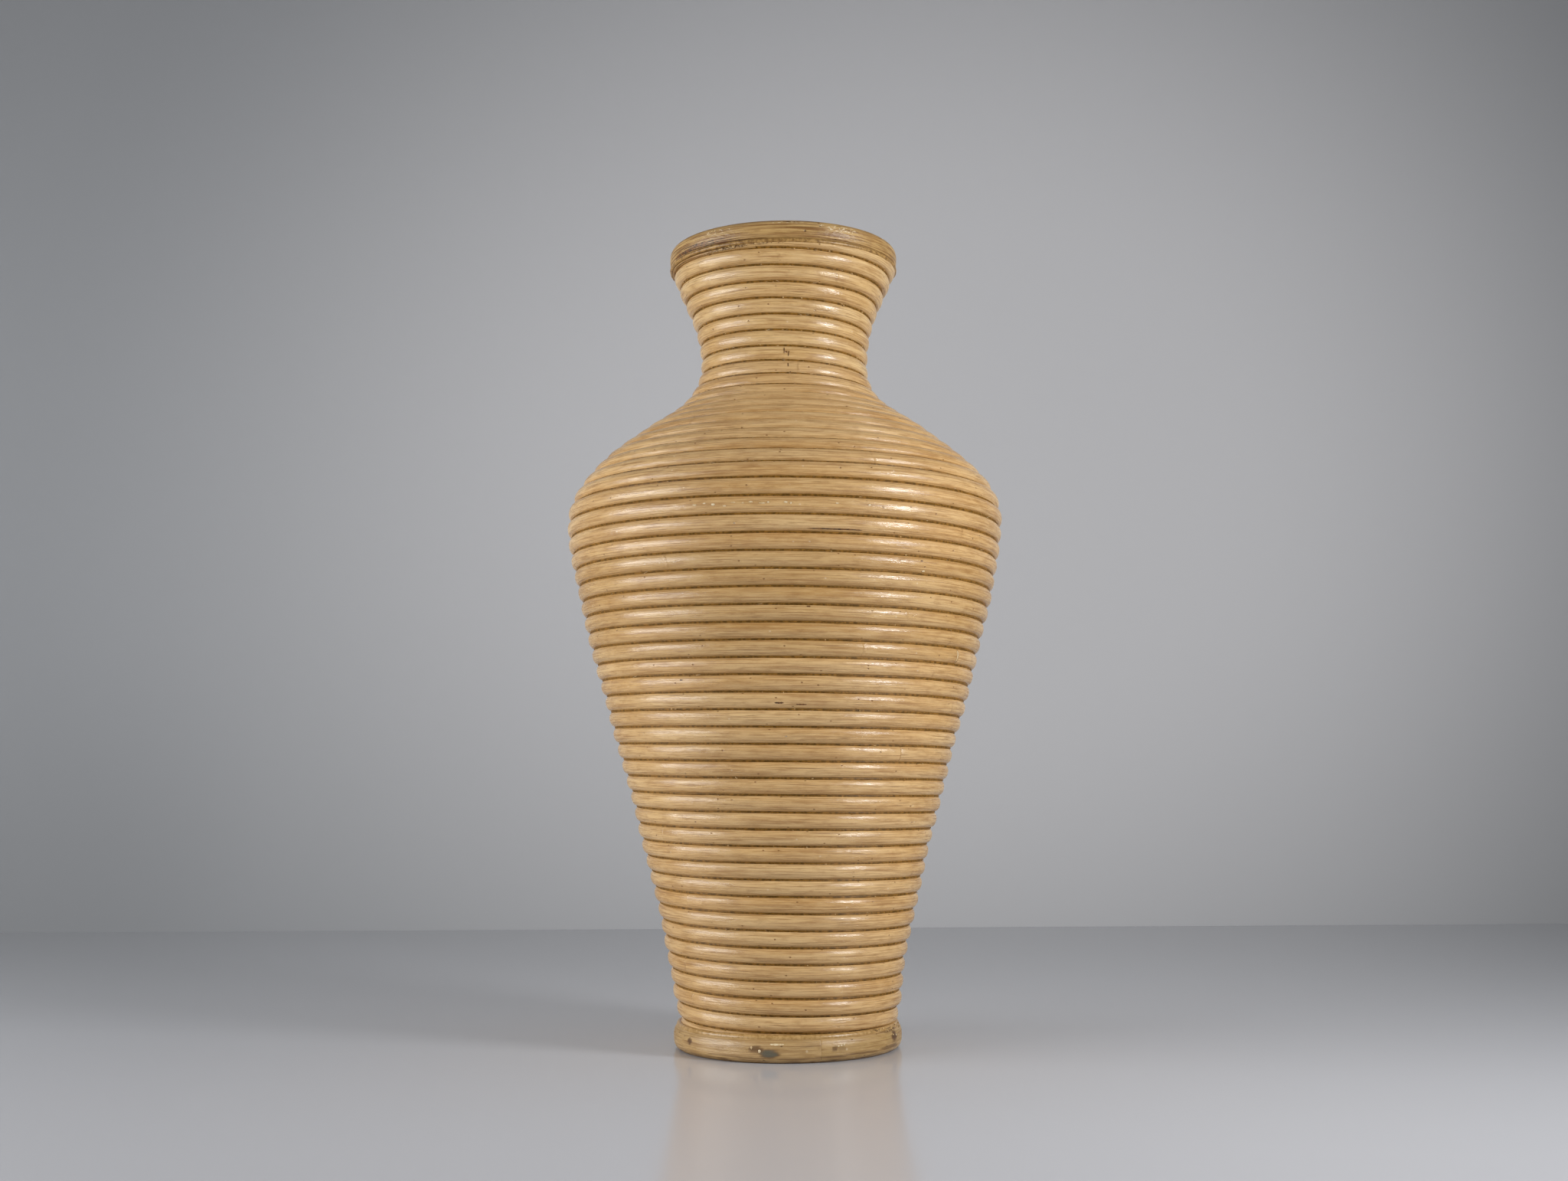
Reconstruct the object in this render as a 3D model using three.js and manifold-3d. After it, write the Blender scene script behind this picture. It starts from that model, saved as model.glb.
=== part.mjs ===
// Wicker floor vase, wound from rattan cane. Millimetres and degrees, +Z up.
// The origin is the centre of the foot, on the floor. The front faces -Y, and a
// bearing is an angle from the front towards +X.
//
// One left-handed spiral of cane makes the wall. It starts as a shaved scarf
// under the rim, runs down turn on turn, and ends as a shaved tail on the foot
// ring. Its lengths of cane meet in butt joints. A heavier bent cane closes the
// mouth, another is nailed round the wooden base, and split cane ribs stand
// against the wall inside.

import * as THREE from 'three';
import { mergeVertices } from 'three/addons/utils/BufferGeometryUtils.js';
import Module from 'manifold-3d';

// The wall, on the line through the middle of its cane, from the foot up.
// A reach is how far the curve keeps its direction at the place it belongs to.
const footRadius = 76.8;
const footLean = 2;
const footReach = 92.4;
const bodyRise = 368.9;
const bellyRadius = 158.1;
const bellyReachDown = 62;
const bellyReachUp = 28.6;
const shoulderRise = 63.9;
const shoulderRadius = 105.8;
const shoulderSlope = 38.8;
const shoulderReachDown = 18.9;
const shoulderReachUp = 21.7;
const collarRise = 58.6;
const neckRadius = 57.7;
const neckReachDown = 33.5;
const neckReachUp = 31.2;
const flareRise = 74.9;
const mouthRadius = 80.3;
const mouthLean = 21.8;
const mouthReach = 36.2;

// The cane of the wall, and how it is wound and joined.
const caneThickness = 11.5;
const caneWidth = 11.8;
const turnGap = 0.5;
const scarfBearing = -40;
const scarfDepth = 3.6;
const tailBearing = 40;
const tailDepth = 2.3;

// The butt joints between the spiral's lengths of cane, from the rim down: the
// full turns above each, and its bearing. The two on the front are those that
// lie 29 and 35 turns down.
const buttJoints = [
  { turn: 2, bearing: 200 },
  { turn: 7, bearing: 160 },
  { turn: 13, bearing: 120 },
  { turn: 18, bearing: 200 },
  { turn: 23, bearing: 240 },
  { turn: 29, bearing: 60 },
  { turn: 35, bearing: 40 },
  { turn: 40, bearing: 200 },
  { turn: 46, bearing: 120 },
];

// The two rings of heavier cane.
const rimThickness = 15.4;
const rimStepIn = 0.8;
const rimJointBearing = 160;
const footThickness = 19;
const footStepIn = 2.2;
const footSanding = 0.7;
const footJointBearing = 16;

// The wooden base and the nails that hold the foot ring to it.
const baseThickness = 12;
const nailCount = 9;
const nailBearing = -14;
const nailLength = 30;
const nailRadius = 1;
const nailHeadRadius = 2;
const nailHeadThickness = 0.9;
const nailPoint = 3;
const nailSink = 0.4;

// The split cane ribs inside.
const ribCount = 6;
const ribWidth = 10;
const ribFace = 6;
const ribThickness = 3.6;
const ribTopDrop = 12;
const ribFlatness = 0.25;

// Clearances between pieces that touch on the real vase.
const seatGap = 0.3;
const buttGap = 0.5;

// How finely round forms are cut into facets.
const stepsPerTurn = 18;
const caneSides = 6;
const ringSteps = 36;
const ringSides = 8;
const nailSides = 6;

const cane = new THREE.MeshStandardMaterial({ color: 0xcfa469, roughness: 0.42, metalness: 0 });
const rimCane = new THREE.MeshStandardMaterial({ color: 0xb58a4c, roughness: 0.45, metalness: 0 });
const footCane = new THREE.MeshStandardMaterial({ color: 0xbd9459, roughness: 0.45, metalness: 0 });
const splitCane = new THREE.MeshStandardMaterial({ color: 0xc39a60, roughness: 0.6, metalness: 0 });
const plywood = new THREE.MeshStandardMaterial({ color: 0xb08a5a, roughness: 0.75, metalness: 0 });
const nailSteel = new THREE.MeshStandardMaterial({ color: 0x6d675f, roughness: 0.5, metalness: 1 });

const solids = await Module();
solids.setup();

const radians = THREE.MathUtils.degToRad;

// Heights that follow from the sizes above.
const footSeat = footThickness - footSanding;
const bellyHeight = footSeat + bodyRise;
const shoulderHeight = bellyHeight + shoulderRise;
const neckHeight = shoulderHeight + collarRise;
const rimSeat = neckHeight + flareRise;
const vaseHeight = rimSeat + rimThickness;

// The wall's middle line in a half plane through the axis, from the rim down.
// X is the distance from the axis and Y is the height.
function wallLine() {
  const slope = new THREE.Vector2(Math.cos(radians(shoulderSlope)), -Math.sin(radians(shoulderSlope)));
  const mouth = new THREE.Vector2(mouthRadius, rimSeat);
  const mouthWay = new THREE.Vector2(-Math.sin(radians(mouthLean)), -Math.cos(radians(mouthLean)));
  const neck = new THREE.Vector2(neckRadius, neckHeight);
  const shoulder = new THREE.Vector2(shoulderRadius, shoulderHeight);
  const belly = new THREE.Vector2(bellyRadius, bellyHeight);
  const foot = new THREE.Vector2(footRadius, footSeat);
  const footWay = new THREE.Vector2(Math.sin(radians(footLean)), Math.cos(radians(footLean)));
  const down = new THREE.Vector2(0, -1);
  const from = (point, way, reach) => point.clone().addScaledVector(way, reach);

  const line = new THREE.CurvePath();
  line.add(new THREE.CubicBezierCurve(
    mouth, from(mouth, mouthWay, mouthReach), from(neck, down, -neckReachUp), neck));
  line.add(new THREE.CubicBezierCurve(
    neck, from(neck, down, neckReachDown), from(shoulder, slope, -shoulderReachUp), shoulder));
  line.add(new THREE.CubicBezierCurve(
    shoulder, from(shoulder, slope, shoulderReachDown), from(belly, down, -bellyReachUp), belly));
  line.add(new THREE.CubicBezierCurve(
    belly, from(belly, down, bellyReachDown), from(foot, footWay, footReach), foot));
  return line;
}

const wall = wallLine();
const wallLength = wall.getLength();

// The wall at a distance along it from the rim: the point, the way down along
// the wall and the way out of it. Past either end the wall runs straight on.
function wallAt(distance) {
  const inside = THREE.MathUtils.clamp(distance, 0, wallLength);
  const down = wall.getTangent(inside / wallLength);
  const point = wall.getPoint(inside / wallLength).addScaledVector(down, distance - inside);
  return { point, down, out: new THREE.Vector2(-down.y, down.x) };
}

// A point at a bearing, a distance from the axis and a height.
function atBearing(bearing, radius, height) {
  const angle = radians(bearing);
  return new THREE.Vector3(radius * Math.sin(angle), -radius * Math.cos(angle), height);
}

// A closed body through a row of like sections, each listed the same way round,
// with a flat face at either end.
function loft(sections) {
  const sides = sections[0].length;
  const positions = sections.flat().flatMap((point) => point.toArray());
  const index = [];
  for (let row = 0; row + 1 < sections.length; row++) {
    for (let side = 0; side < sides; side++) {
      const next = (side + 1) % sides;
      const here = row * sides;
      const beyond = here + sides;
      index.push(here + side, here + next, beyond + next);
      index.push(here + side, beyond + next, beyond + side);
    }
  }
  const last = (sections.length - 1) * sides;
  for (let side = 1; side + 1 < sides; side++) {
    index.push(0, side + 1, side);
    index.push(last, last + side, last + side + 1);
  }
  const geometry = new THREE.BufferGeometry();
  geometry.setAttribute('position', new THREE.Float32BufferAttribute(positions, 3));
  geometry.setIndex(index);
  return geometry;
}

// A three.js shape as a solid that can be cut, and the result as a shape again.
function toSolid(geometry) {
  const plain = geometry.clone();
  plain.deleteAttribute('normal');
  plain.deleteAttribute('uv');
  const merged = mergeVertices(plain);
  return new solids.Manifold(new solids.Mesh({
    numProp: 3,
    vertProperties: new Float32Array(merged.attributes.position.array),
    triVerts: new Uint32Array(merged.index.array),
  }));
}

function toGeometry(solid) {
  const mesh = solid.getMesh();
  const geometry = new THREE.BufferGeometry();
  geometry.setAttribute('position', new THREE.BufferAttribute(mesh.vertProperties, mesh.numProp));
  geometry.setIndex(new THREE.BufferAttribute(mesh.triVerts, 1));
  return geometry;
}

function cut(geometry, cutters) {
  const solid = cutters.reduce((rest, cutter) => rest.subtract(toSolid(cutter)), toSolid(geometry));
  return toGeometry(solid);
}

// A flat saw cut across the vase, from one height to another.
function sawCut(lower, upper) {
  const widest = bellyRadius + caneWidth;
  const slab = new THREE.BoxGeometry(2 * widest, 2 * widest, upper - lower);
  return slab.translate(0, 0, (lower + upper) / 2);
}

// The spiral. Its turns are counted so that the cane just fits between the
// scarf under the rim and the tail on the foot, and the pitch takes up the rest.
const turnRoom = wallLength - scarfDepth - tailDepth;
const fullTurns = Math.floor(turnRoom / (caneThickness + turnGap));
const pitch = turnRoom / fullTurns;
const stepAngle = 360 / stepsPerTurn;
const firstStep = Math.round(scarfBearing / stepAngle);
const lastStep = Math.round(tailBearing / stepAngle) + (fullTurns + 1) * stepsPerTurn;

// How far the middle of the cane lies along the wall at a step of the spiral.
function spiralDistance(step) {
  return scarfDepth - pitch / 2 + (pitch * step) / stepsPerTurn;
}

// The cane's section at a step: a ridge meets the turn above and the turn below,
// and a flat faces out and in.
function caneSection(step) {
  const { point, down, out } = wallAt(spiralDistance(step));
  const halfWidth = caneWidth / 2 / Math.cos(Math.PI / caneSides);
  const section = [];
  for (let side = 0; side < caneSides; side++) {
    const angle = (2 * Math.PI * side) / caneSides;
    const corner = point.clone()
      .addScaledVector(down, (-Math.cos(angle) * caneThickness) / 2)
      .addScaledVector(out, Math.sin(angle) * halfWidth);
    section.push(atBearing(step * stepAngle, corner.x, corner.y));
  }
  return section;
}

// A section drawn back from a joint along the cane, by half the joint's gap.
function drawBack(section, inner) {
  const length = section[0].distanceTo(inner[0]);
  return section.map((corner, side) => corner.clone().lerp(inner[side], buttGap / 2 / length));
}

// The steps where one length of cane ends and the next begins. The spiral has
// only the joints that lie above its tail.
function caneEnds() {
  const joints = buttJoints.map(({ turn, bearing }) => (
    turn * stepsPerTurn + Math.round(bearing / stepAngle)));
  return [firstStep, ...joints.filter((step) => step < lastStep), lastStep];
}

function caneBetween(from, to) {
  const sections = [];
  for (let step = from; step <= to; step++) {
    sections.push(caneSection(step));
  }
  if (from > firstStep) sections[0] = drawBack(sections[0], sections[1]);
  if (to < lastStep) sections.push(drawBack(sections.pop(), sections.at(-2)));
  const tube = loft(sections);
  if (from === firstStep) return cut(tube, [sawCut(rimSeat - seatGap, vaseHeight + caneThickness)]);
  if (to === lastStep) return cut(tube, [sawCut(-caneThickness, footSeat + seatGap)]);
  return tube;
}

// The least gap between one turn and the next, over the corners of the sections
// that lie one turn apart.
function leastTurnGap() {
  let least = Infinity;
  for (let step = firstStep; step + stepsPerTurn <= lastStep; step++) {
    const below = caneSection(step + stepsPerTurn);
    for (const corner of caneSection(step)) {
      for (const other of below) {
        least = Math.min(least, corner.distanceTo(other));
      }
    }
  }
  return least;
}

// A ring of bent cane with a butt joint. Its flats face up, down, in and out.
function bentRing(radius, height, thickness, jointBearing) {
  const corner = thickness / 2 / Math.cos(Math.PI / ringSides);
  const sections = [];
  for (let step = 0; step <= ringSteps; step++) {
    const section = [];
    for (let side = 0; side < ringSides; side++) {
      const angle = (2 * Math.PI * (side + 0.5)) / ringSides;
      const reach = radius + corner * Math.sin(angle);
      const level = height + corner * Math.cos(angle);
      section.push(atBearing(jointBearing + (360 * step) / ringSteps, reach, level));
    }
    sections.push(section);
  }
  sections[0] = drawBack(sections[0], sections[1]);
  sections.push(drawBack(sections.pop(), sections.at(-2)));
  return loft(sections);
}

// The foot: a bent cane ring, sanded flat below, round a wooden base.
const ringHeight = footSeat - footThickness / 2;
const footRingRadius = footRadius - footStepIn;
const footOuterRadius = footRingRadius + footThickness / 2;
const baseRadius = footRingRadius - footThickness / 2 - seatGap;

// A nail along +X with its head's outer face at the origin. Growing it by a
// clearance gives the hole that it sits in, which opens out past the ring's face.
function nailForm(grow, openTo) {
  const shank = nailRadius + grow;
  const head = nailHeadRadius + grow;
  const tip = -nailLength - grow;
  const under = -nailHeadThickness - grow;
  const outline = [
    [0, tip],
    [shank, tip + nailPoint],
    [shank, under],
    [head, under],
    [head, openTo],
    [0, openTo],
  ];
  const form = new THREE.LatheGeometry(outline.map(([x, y]) => new THREE.Vector2(x, y)), nailSides);
  return form.rotateZ(-Math.PI / 2);
}

function placeNail(form, number) {
  const bearing = nailBearing + (360 * number) / nailCount;
  const place = atBearing(bearing, footOuterRadius - nailSink, ringHeight);
  return form.rotateZ(radians(bearing - 90)).translate(place.x, place.y, place.z);
}

const nailNumbers = Array.from({ length: nailCount }, (_, number) => number);
const holeOpening = nailSink + nailHeadThickness;
const nailHoles = nailNumbers.map((number) => placeNail(nailForm(seatGap, holeOpening), number));

function footRing() {
  const ring = bentRing(footRingRadius, ringHeight, footThickness, footJointBearing);
  return cut(ring, [sawCut(-footThickness, 0), ...nailHoles]);
}

function baseDisc() {
  const disc = new THREE.CylinderGeometry(baseRadius, baseRadius, baseThickness, ringSteps);
  disc.rotateX(Math.PI / 2).rotateZ(radians(footJointBearing)).translate(0, 0, ringHeight);
  return cut(disc, nailHoles);
}

// The ribs. Each lies on the flats that the turns have inside, half way along
// a facet, and its stations are closest where the wall bends most.
const facetMiddle = Math.cos(radians(stepAngle / 2));
const ribSetIn = caneWidth / 2 + seatGap + ribFlatness;

function ribSide(distance, depth) {
  const { point, out } = wallAt(distance);
  const side = point.addScaledVector(out, -depth);
  return new THREE.Vector2(side.x * facetMiddle, side.y);
}

function ribStations(from, to) {
  const middle = (from + to) / 2;
  const straight = ribSide(from, ribSetIn).add(ribSide(to, ribSetIn)).multiplyScalar(0.5);
  if (straight.distanceTo(ribSide(middle, ribSetIn)) < ribFlatness) return [from];
  return [...ribStations(from, middle), ...ribStations(middle, to)];
}

function rib(number) {
  const bearing = stepAngle / 2 + (360 * number) / ribCount;
  const across = atBearing(bearing + 90, 1, 0);
  const lowest = wallLength - seatGap;
  const middle = wallLength / 2;
  const stations = [...ribStations(ribTopDrop, middle), ...ribStations(middle, lowest), lowest];
  return loft(stations.map((distance) => {
    const back = ribSide(distance, ribSetIn);
    const face = ribSide(distance, ribSetIn + ribThickness);
    const corners = [[back, ribWidth], [back, -ribWidth], [face, -ribFace], [face, ribFace]];
    return corners.map(([side, width]) => (
      atBearing(bearing, side.x, side.y).addScaledVector(across, width / 2)));
  }));
}

function piece(name, geometry, material) {
  const mesh = new THREE.Mesh(geometry, material.clone());
  mesh.name = name;
  return mesh;
}

const winding = new THREE.Group();
const ends = caneEnds();
for (let number = 1; number < ends.length; number++) {
  const name = `wall_cane_${String(number).padStart(2, '0')}`;
  winding.add(piece(name, caneBetween(ends[number - 1], ends[number]), cane));
}

const rimHeight = rimSeat + rimThickness / 2;
const rimRing = bentRing(mouthRadius - rimStepIn, rimHeight, rimThickness, rimJointBearing);
const rim = piece('rim_ring', rimRing, rimCane);

const foot = new THREE.Group();
foot.add(piece('foot_ring', footRing(), footCane));
foot.add(piece('base_disc', baseDisc(), plywood));
for (const number of nailNumbers) {
  foot.add(piece(`foot_nail_${number + 1}`, placeNail(nailForm(0, 0), number), nailSteel));
}

const ribs = new THREE.Group();
for (let number = 0; number < ribCount; number++) {
  ribs.add(piece(`inner_rib_${number + 1}`, rib(number), splitCane));
}

console.log(`turns ${fullTurns + 1}, pitch ${pitch.toFixed(2)} mm`);
console.log(`least gap between turns ${leastTurnGap().toFixed(2)} mm`);

const vase = new THREE.Group();
vase.add(winding, rim, foot, ribs);
export default vase;
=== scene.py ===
"""The looks of a coiled rattan floor vase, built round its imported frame.

New meshes are drawn in millimetres and brought to metres when they are finished.
A bearing is an angle in degrees from the front, which faces -Y, towards +X. Along
the wall's spiral it is counted on over all the turns, from the rim down.
"""

import logging
import math
import random
from dataclasses import dataclass, replace
from enum import Enum

import bmesh
import bpy
import numpy as np
from mathutils import Matrix, Vector, noise


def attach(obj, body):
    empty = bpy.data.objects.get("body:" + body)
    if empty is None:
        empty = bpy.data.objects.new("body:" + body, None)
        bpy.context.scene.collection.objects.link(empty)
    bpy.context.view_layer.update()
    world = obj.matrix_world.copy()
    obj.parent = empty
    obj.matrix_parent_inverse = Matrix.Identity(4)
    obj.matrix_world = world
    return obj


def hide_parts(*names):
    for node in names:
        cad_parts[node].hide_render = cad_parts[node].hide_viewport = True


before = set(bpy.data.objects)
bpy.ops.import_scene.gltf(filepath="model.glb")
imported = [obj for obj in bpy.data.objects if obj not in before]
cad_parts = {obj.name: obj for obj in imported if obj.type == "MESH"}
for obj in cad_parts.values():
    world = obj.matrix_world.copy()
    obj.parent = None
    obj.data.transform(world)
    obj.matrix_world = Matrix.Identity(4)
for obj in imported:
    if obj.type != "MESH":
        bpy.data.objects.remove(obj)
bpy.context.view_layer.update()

BODY = "root"
MM = 0.001
TURN = 360
CANE_UV = "CaneUV"
# Corners closer than these, in millimetres, become one: on a new cane, and on a finished piece.
WELD = 0.001
FINE_WELD = 0.0001
SHARP_ANGLE = math.radians(48)

Array = np.ndarray
Axes = tuple[Array, Array, Array]
Socket = bpy.types.NodeSocket

log = logging.getLogger("vase")


class Grade(Enum):
    """The kinds of material in the vase."""

    WALL = "wall_cane"
    RIM = "rim_cane"
    FOOT = "foot_cane"
    SPLIT = "split_cane"
    BASE = "base_plywood"
    NAIL = "nail_steel"


class Mark(Enum):
    """The marks on a cane, by the attribute that carries each."""

    # Besides stains, this layer holds a painted contact shadow along the foot's bottom edge.
    STAIN_AND_SHADE = "stain_and_shade"
    SCAR = "scar"


def linear(code: str) -> tuple[float, float, float, float]:
    """Turns an sRGB hex colour to linear.

    Args:
        code: Six hex digits.

    Returns:
        The linear red, green and blue, and an alpha of 1.
    """
    shares = [int(code[i : i + 2], 16) / 255 for i in (0, 2, 4)]
    red, green, blue = (s / 12.92 if s <= 0.04045 else ((s + 0.055) / 1.055) ** 2.4 for s in shares)
    return red, green, blue, 1.0


def add_node(
    tree: bpy.types.NodeTree, kind: str, links: dict | None = None, **settings: object
) -> bpy.types.Node:
    """Adds a node with its settings and links.

    Args:
        tree: The node tree that takes it.
        kind: The node's type.
        links: What goes into each input, by its name or number: an output or a plain value.
        settings: The node's own properties.

    Returns:
        The new node.
    """
    made = tree.nodes.new(kind)
    for name, value in settings.items():
        setattr(made, name, value)
    for socket, value in (links or {}).items():
        if isinstance(value, Socket):
            tree.links.new(value, made.inputs[socket])
        else:
            made.inputs[socket].default_value = value
    return made


class Recipe:
    """A material in the making: its nodes, with the sums that the finishes share."""

    def __init__(self, name: str) -> None:
        """Starts the material.

        Args:
            name: The material's name.
        """
        self.material = bpy.data.materials.new(name)
        self.material.use_nodes = True
        self.tree = self.material.node_tree
        self.shader = self.tree.nodes["Principled BSDF"]

    def add(self, kind: str, links: dict | None = None, **settings: object) -> bpy.types.Node:
        """Adds a node, as add_node does."""
        return add_node(self.tree, kind, links, **settings)

    def step(self, value: object, low: float, high: float, to: float = 1.0) -> Socket:
        """Adds a soft step from 0 at low to its height at high."""
        links = {0: value, 1: low, 2: high, 4: to}
        return self.add("ShaderNodeMapRange", links, interpolation_type="SMOOTHSTEP").outputs[0]

    def times(self, first: object, second: object) -> Socket:
        """Adds the product of two numbers."""
        return self.add("ShaderNodeMath", {0: first, 1: second}, operation="MULTIPLY").outputs[0]

    def plus(self, first: object, share: float, base: object) -> Socket:
        """Adds a number, times a share, to another."""
        links = {0: first, 1: share, 2: base}
        return self.add("ShaderNodeMath", links, operation="MULTIPLY_ADD").outputs[0]

    def mix(self, share: object, under: object, over: str) -> Socket:
        """Adds a mix of a colour with a share of a hex colour."""
        links = {0: share, 6: under, 7: linear(over)}
        return self.add("ShaderNodeMix", links, data_type="RGBA").outputs[2]

    def mark(self, mark: Mark) -> Socket:
        """Adds how strong a mark is."""
        return self.add("ShaderNodeAttribute", attribute_name=mark.value).outputs["Fac"]

    def patches(self, place: Socket, size: tuple[float, ...], detail: float) -> Socket:
        """Adds a patchy noise.

        Args:
            place: The place that it is read at.
            size: How large its patches are along each of the place's two or three axes.
            detail: How much finer noise there is in them.

        Returns:
            The noise.
        """
        scale = (*(1 / length for length in size), 1)[:3]
        scaled = self.add("ShaderNodeVectorMath", {0: place, 1: scale}, operation="MULTIPLY")
        made = self.add("ShaderNodeTexNoise", noise_dimensions=f"{len(size)}D")
        self.tree.links.new(scaled.outputs[0], made.inputs["Vector"])
        for socket, value in (("Scale", 1), ("Detail", detail), ("Roughness", 0.6)):
            made.inputs[socket].default_value = value
        return made.outputs[0]

    def object_place(self) -> Socket:
        """Adds the place on the object, in millimetres."""
        place = self.add("ShaderNodeTexCoord").outputs["Object"]
        links = {0: place, "Scale": 1 / MM}
        return self.add("ShaderNodeVectorMath", links, operation="SCALE").outputs[0]

    def finish(
        self, colour: object, roughness: object, height: object, relief: float
    ) -> bpy.types.Material:
        """Links up the shader.

        Args:
            colour: The base colour.
            roughness: The roughness.
            height: The relief's height.
            relief: The depth of the relief in millimetres for a height of 1.

        Returns:
            The finished material.
        """
        for socket, value in (("Base Color", colour), ("Roughness", roughness)):
            if isinstance(value, Socket):
                self.tree.links.new(value, self.shader.inputs[socket])
            else:
                self.shader.inputs[socket].default_value = value
        links = {"Height": height, "Strength": 1.0, "Distance": relief * MM}
        bump = self.add("ShaderNodeBump", links)
        self.tree.links.new(bump.outputs[0], self.shader.inputs["Normal"])
        return self.material


@dataclass(frozen=True)
class CaneFinish:
    """Rattan, straight-grained and rubbed down, bare or under varnish.

    The grain is thousands of fine vessels that run along the cane. They show as
    streaks, with a short dark line where the sanding opened one. Varnish fills
    them to a satin gloss that the streaks still break up. Lengths and widths are in
    millimetres. A share is how much of what lies under it a colour covers.
    """

    name: str
    body: str
    pale: str
    warm: str
    streak: str
    line: str
    # The colour beside the grooves: partly glue and dust, partly painted shade.
    groove: str
    roughness: float
    girth: float
    stain_and_shade: str = "4C2A0C"
    scar: str = "5F5A4A"
    fleck: str = "F0E0C4"
    groove_place: float = 8.6
    groove_width: float = 1.4
    groove_share: float = 0.7
    groove_stray: float = 2.4
    dull_place: float = 3.6
    dull_width: float = 2.0
    tone_length: float = 120.0
    warm_length: float = 430.0
    warm_share: float = 0.4
    streak_length: float = 56.0
    streak_width: float = 1.1
    streak_share: float = 0.42
    fibre_length: float = 36.0
    fibre_width: float = 0.6
    fibre_share: float = 0.5
    mottle_length: float = 12.0
    mottle_width: float = 2.6
    mottle_share: float = 0.3
    line_length: float = 26.0
    line_width: float = 0.5
    line_share: float = 0.6
    crowd: float = 0.52
    pit_spacing: float = 6.5
    node_spacing: float = 900.0
    lumps: float = 0.6
    relief: float = 0.2

    def build(self) -> bpy.types.Material:
        """Builds the material on the piece's own map of length and girth.

        Returns:
            The material.
        """
        recipe = Recipe(self.name)
        place = recipe.add("ShaderNodeUVMap", uv_map=CANE_UV).outputs[0]
        parts = recipe.add("ShaderNodeSeparateXYZ", {0: place})
        colour, streaks, fibres, lines = self._grain(recipe, place)
        colour, pits = self._pits(recipe, place, colour)
        colour, ring = self._nodes(recipe, place, parts.outputs[0], colour)
        # The brown beside the grooves is partly glue and dust and partly painted shade.
        colour, darkening = self._groove_dirt_and_shade(recipe, place, parts.outputs[1], colour)
        # On the foot this also paints a contact shadow along the bottom edge.
        colour = recipe.mix(recipe.times(recipe.mark(Mark.STAIN_AND_SHADE), 0.9), colour, self.stain_and_shade)
        scar = recipe.mark(Mark.SCAR)
        colour = recipe.mix(recipe.times(scar, 0.95), colour, self.scar)

        slow = recipe.patches(place, (30, 5), 2)
        links = {0: fibres, 1: 0.3, 2: 0.7, 3: self.roughness - 0.06, 4: self.roughness + 0.14}
        gloss = recipe.add("ShaderNodeMapRange", links).outputs[0]
        for part, rise in ((scar, 0.3), (darkening, 0.25)):
            gloss = recipe.plus(part, rise, gloss)
        lumps = recipe.patches(place, (3.2, 1.1), 2)
        height = recipe.plus(slow, 1.3, recipe.times(streaks, 0.8))
        depths = ((fibres, 0.4), (lines, -0.25), (pits, -0.9), (ring, 0.6), (lumps, self.lumps))
        for part, depth in depths:
            height = recipe.plus(part, depth, height)
        return recipe.finish(colour, gloss, height, self.relief)

    def _grain(self, recipe: Recipe, place: Socket) -> tuple[Socket, ...]:
        """Adds the cane's tone, its streaks, its fine fibres and its dark lines.

        Args:
            recipe: The material in the making.
            place: The map of length and girth.

        Returns:
            The colour, the streaks, the fibres and the lines.
        """
        tone = recipe.patches(place, (self.tone_length, self.girth / 3), 3)
        warm = recipe.patches(place, (self.warm_length, self.girth), 2)
        streaks = recipe.patches(place, (self.streak_length, self.streak_width), 4)
        fibres = recipe.patches(place, (self.fibre_length, self.fibre_width), 2)
        mottle = recipe.patches(place, (self.mottle_length, self.mottle_width), 4)
        fine = recipe.patches(place, (self.line_length, self.line_width), 1)
        crowd = recipe.patches(place, (self.tone_length / 2, self.girth / 8), 3)
        crowd = recipe.step(crowd, self.crowd, self.crowd + 0.18)
        lines = recipe.times(recipe.step(fine, 0.6, 0.7), crowd)
        # Each coat: its pattern, where its step starts and ends, its share and its colour.
        coats = (
            (tone, 0.3, 0.7, 1.0, self.pale),
            (warm, 0.42, 0.68, self.warm_share, self.warm),
            (streaks, 0.48, 0.64, self.streak_share, self.streak),
            (streaks, 0.46, 0.34, self.streak_share * 0.7, self.pale),
            (mottle, 0.5, 0.72, self.mottle_share, self.streak),
            (mottle, 0.48, 0.34, self.mottle_share, self.pale),
            (fibres, 0.48, 0.68, self.fibre_share, self.streak),
        )
        colour = linear(self.body)
        for pattern, low, high, share, shade in coats:
            colour = recipe.mix(recipe.step(pattern, low, high, share), colour, shade)
        colour = recipe.mix(recipe.times(lines, self.line_share), colour, self.line)
        return colour, streaks, fibres, lines

    def _pits(self, recipe: Recipe, place: Socket, colour: Socket) -> tuple[Socket, Socket]:
        """Adds small dark pits and pale flecks of varnish.

        Args:
            recipe: The material in the making.
            place: The map of length and girth.
            colour: The colour under them.

        Returns:
            The colour with them, and the pits.
        """
        scale = 1 / self.pit_spacing
        links = {0: place, 1: (scale * 0.6, scale, 1)}
        spaced = recipe.add("ShaderNodeVectorMath", links, operation="MULTIPLY")
        links = {"Vector": spaced.outputs[0], "Scale": 1}
        cells = recipe.add("ShaderNodeTexVoronoi", links, voronoi_dimensions="2D")
        spot = recipe.step(cells.outputs["Distance"], 0.09, 0.04)
        pick = recipe.add("ShaderNodeSeparateColor", {0: cells.outputs["Color"]})
        pits = recipe.times(spot, recipe.step(pick.outputs[0], 0.84, 0.9))
        flecks = recipe.times(spot, recipe.step(pick.outputs[1], 0.95, 0.97))
        colour = recipe.mix(recipe.times(pits, 0.75), colour, self.line)
        return recipe.mix(recipe.times(flecks, 0.3), colour, self.fleck), pits

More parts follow.
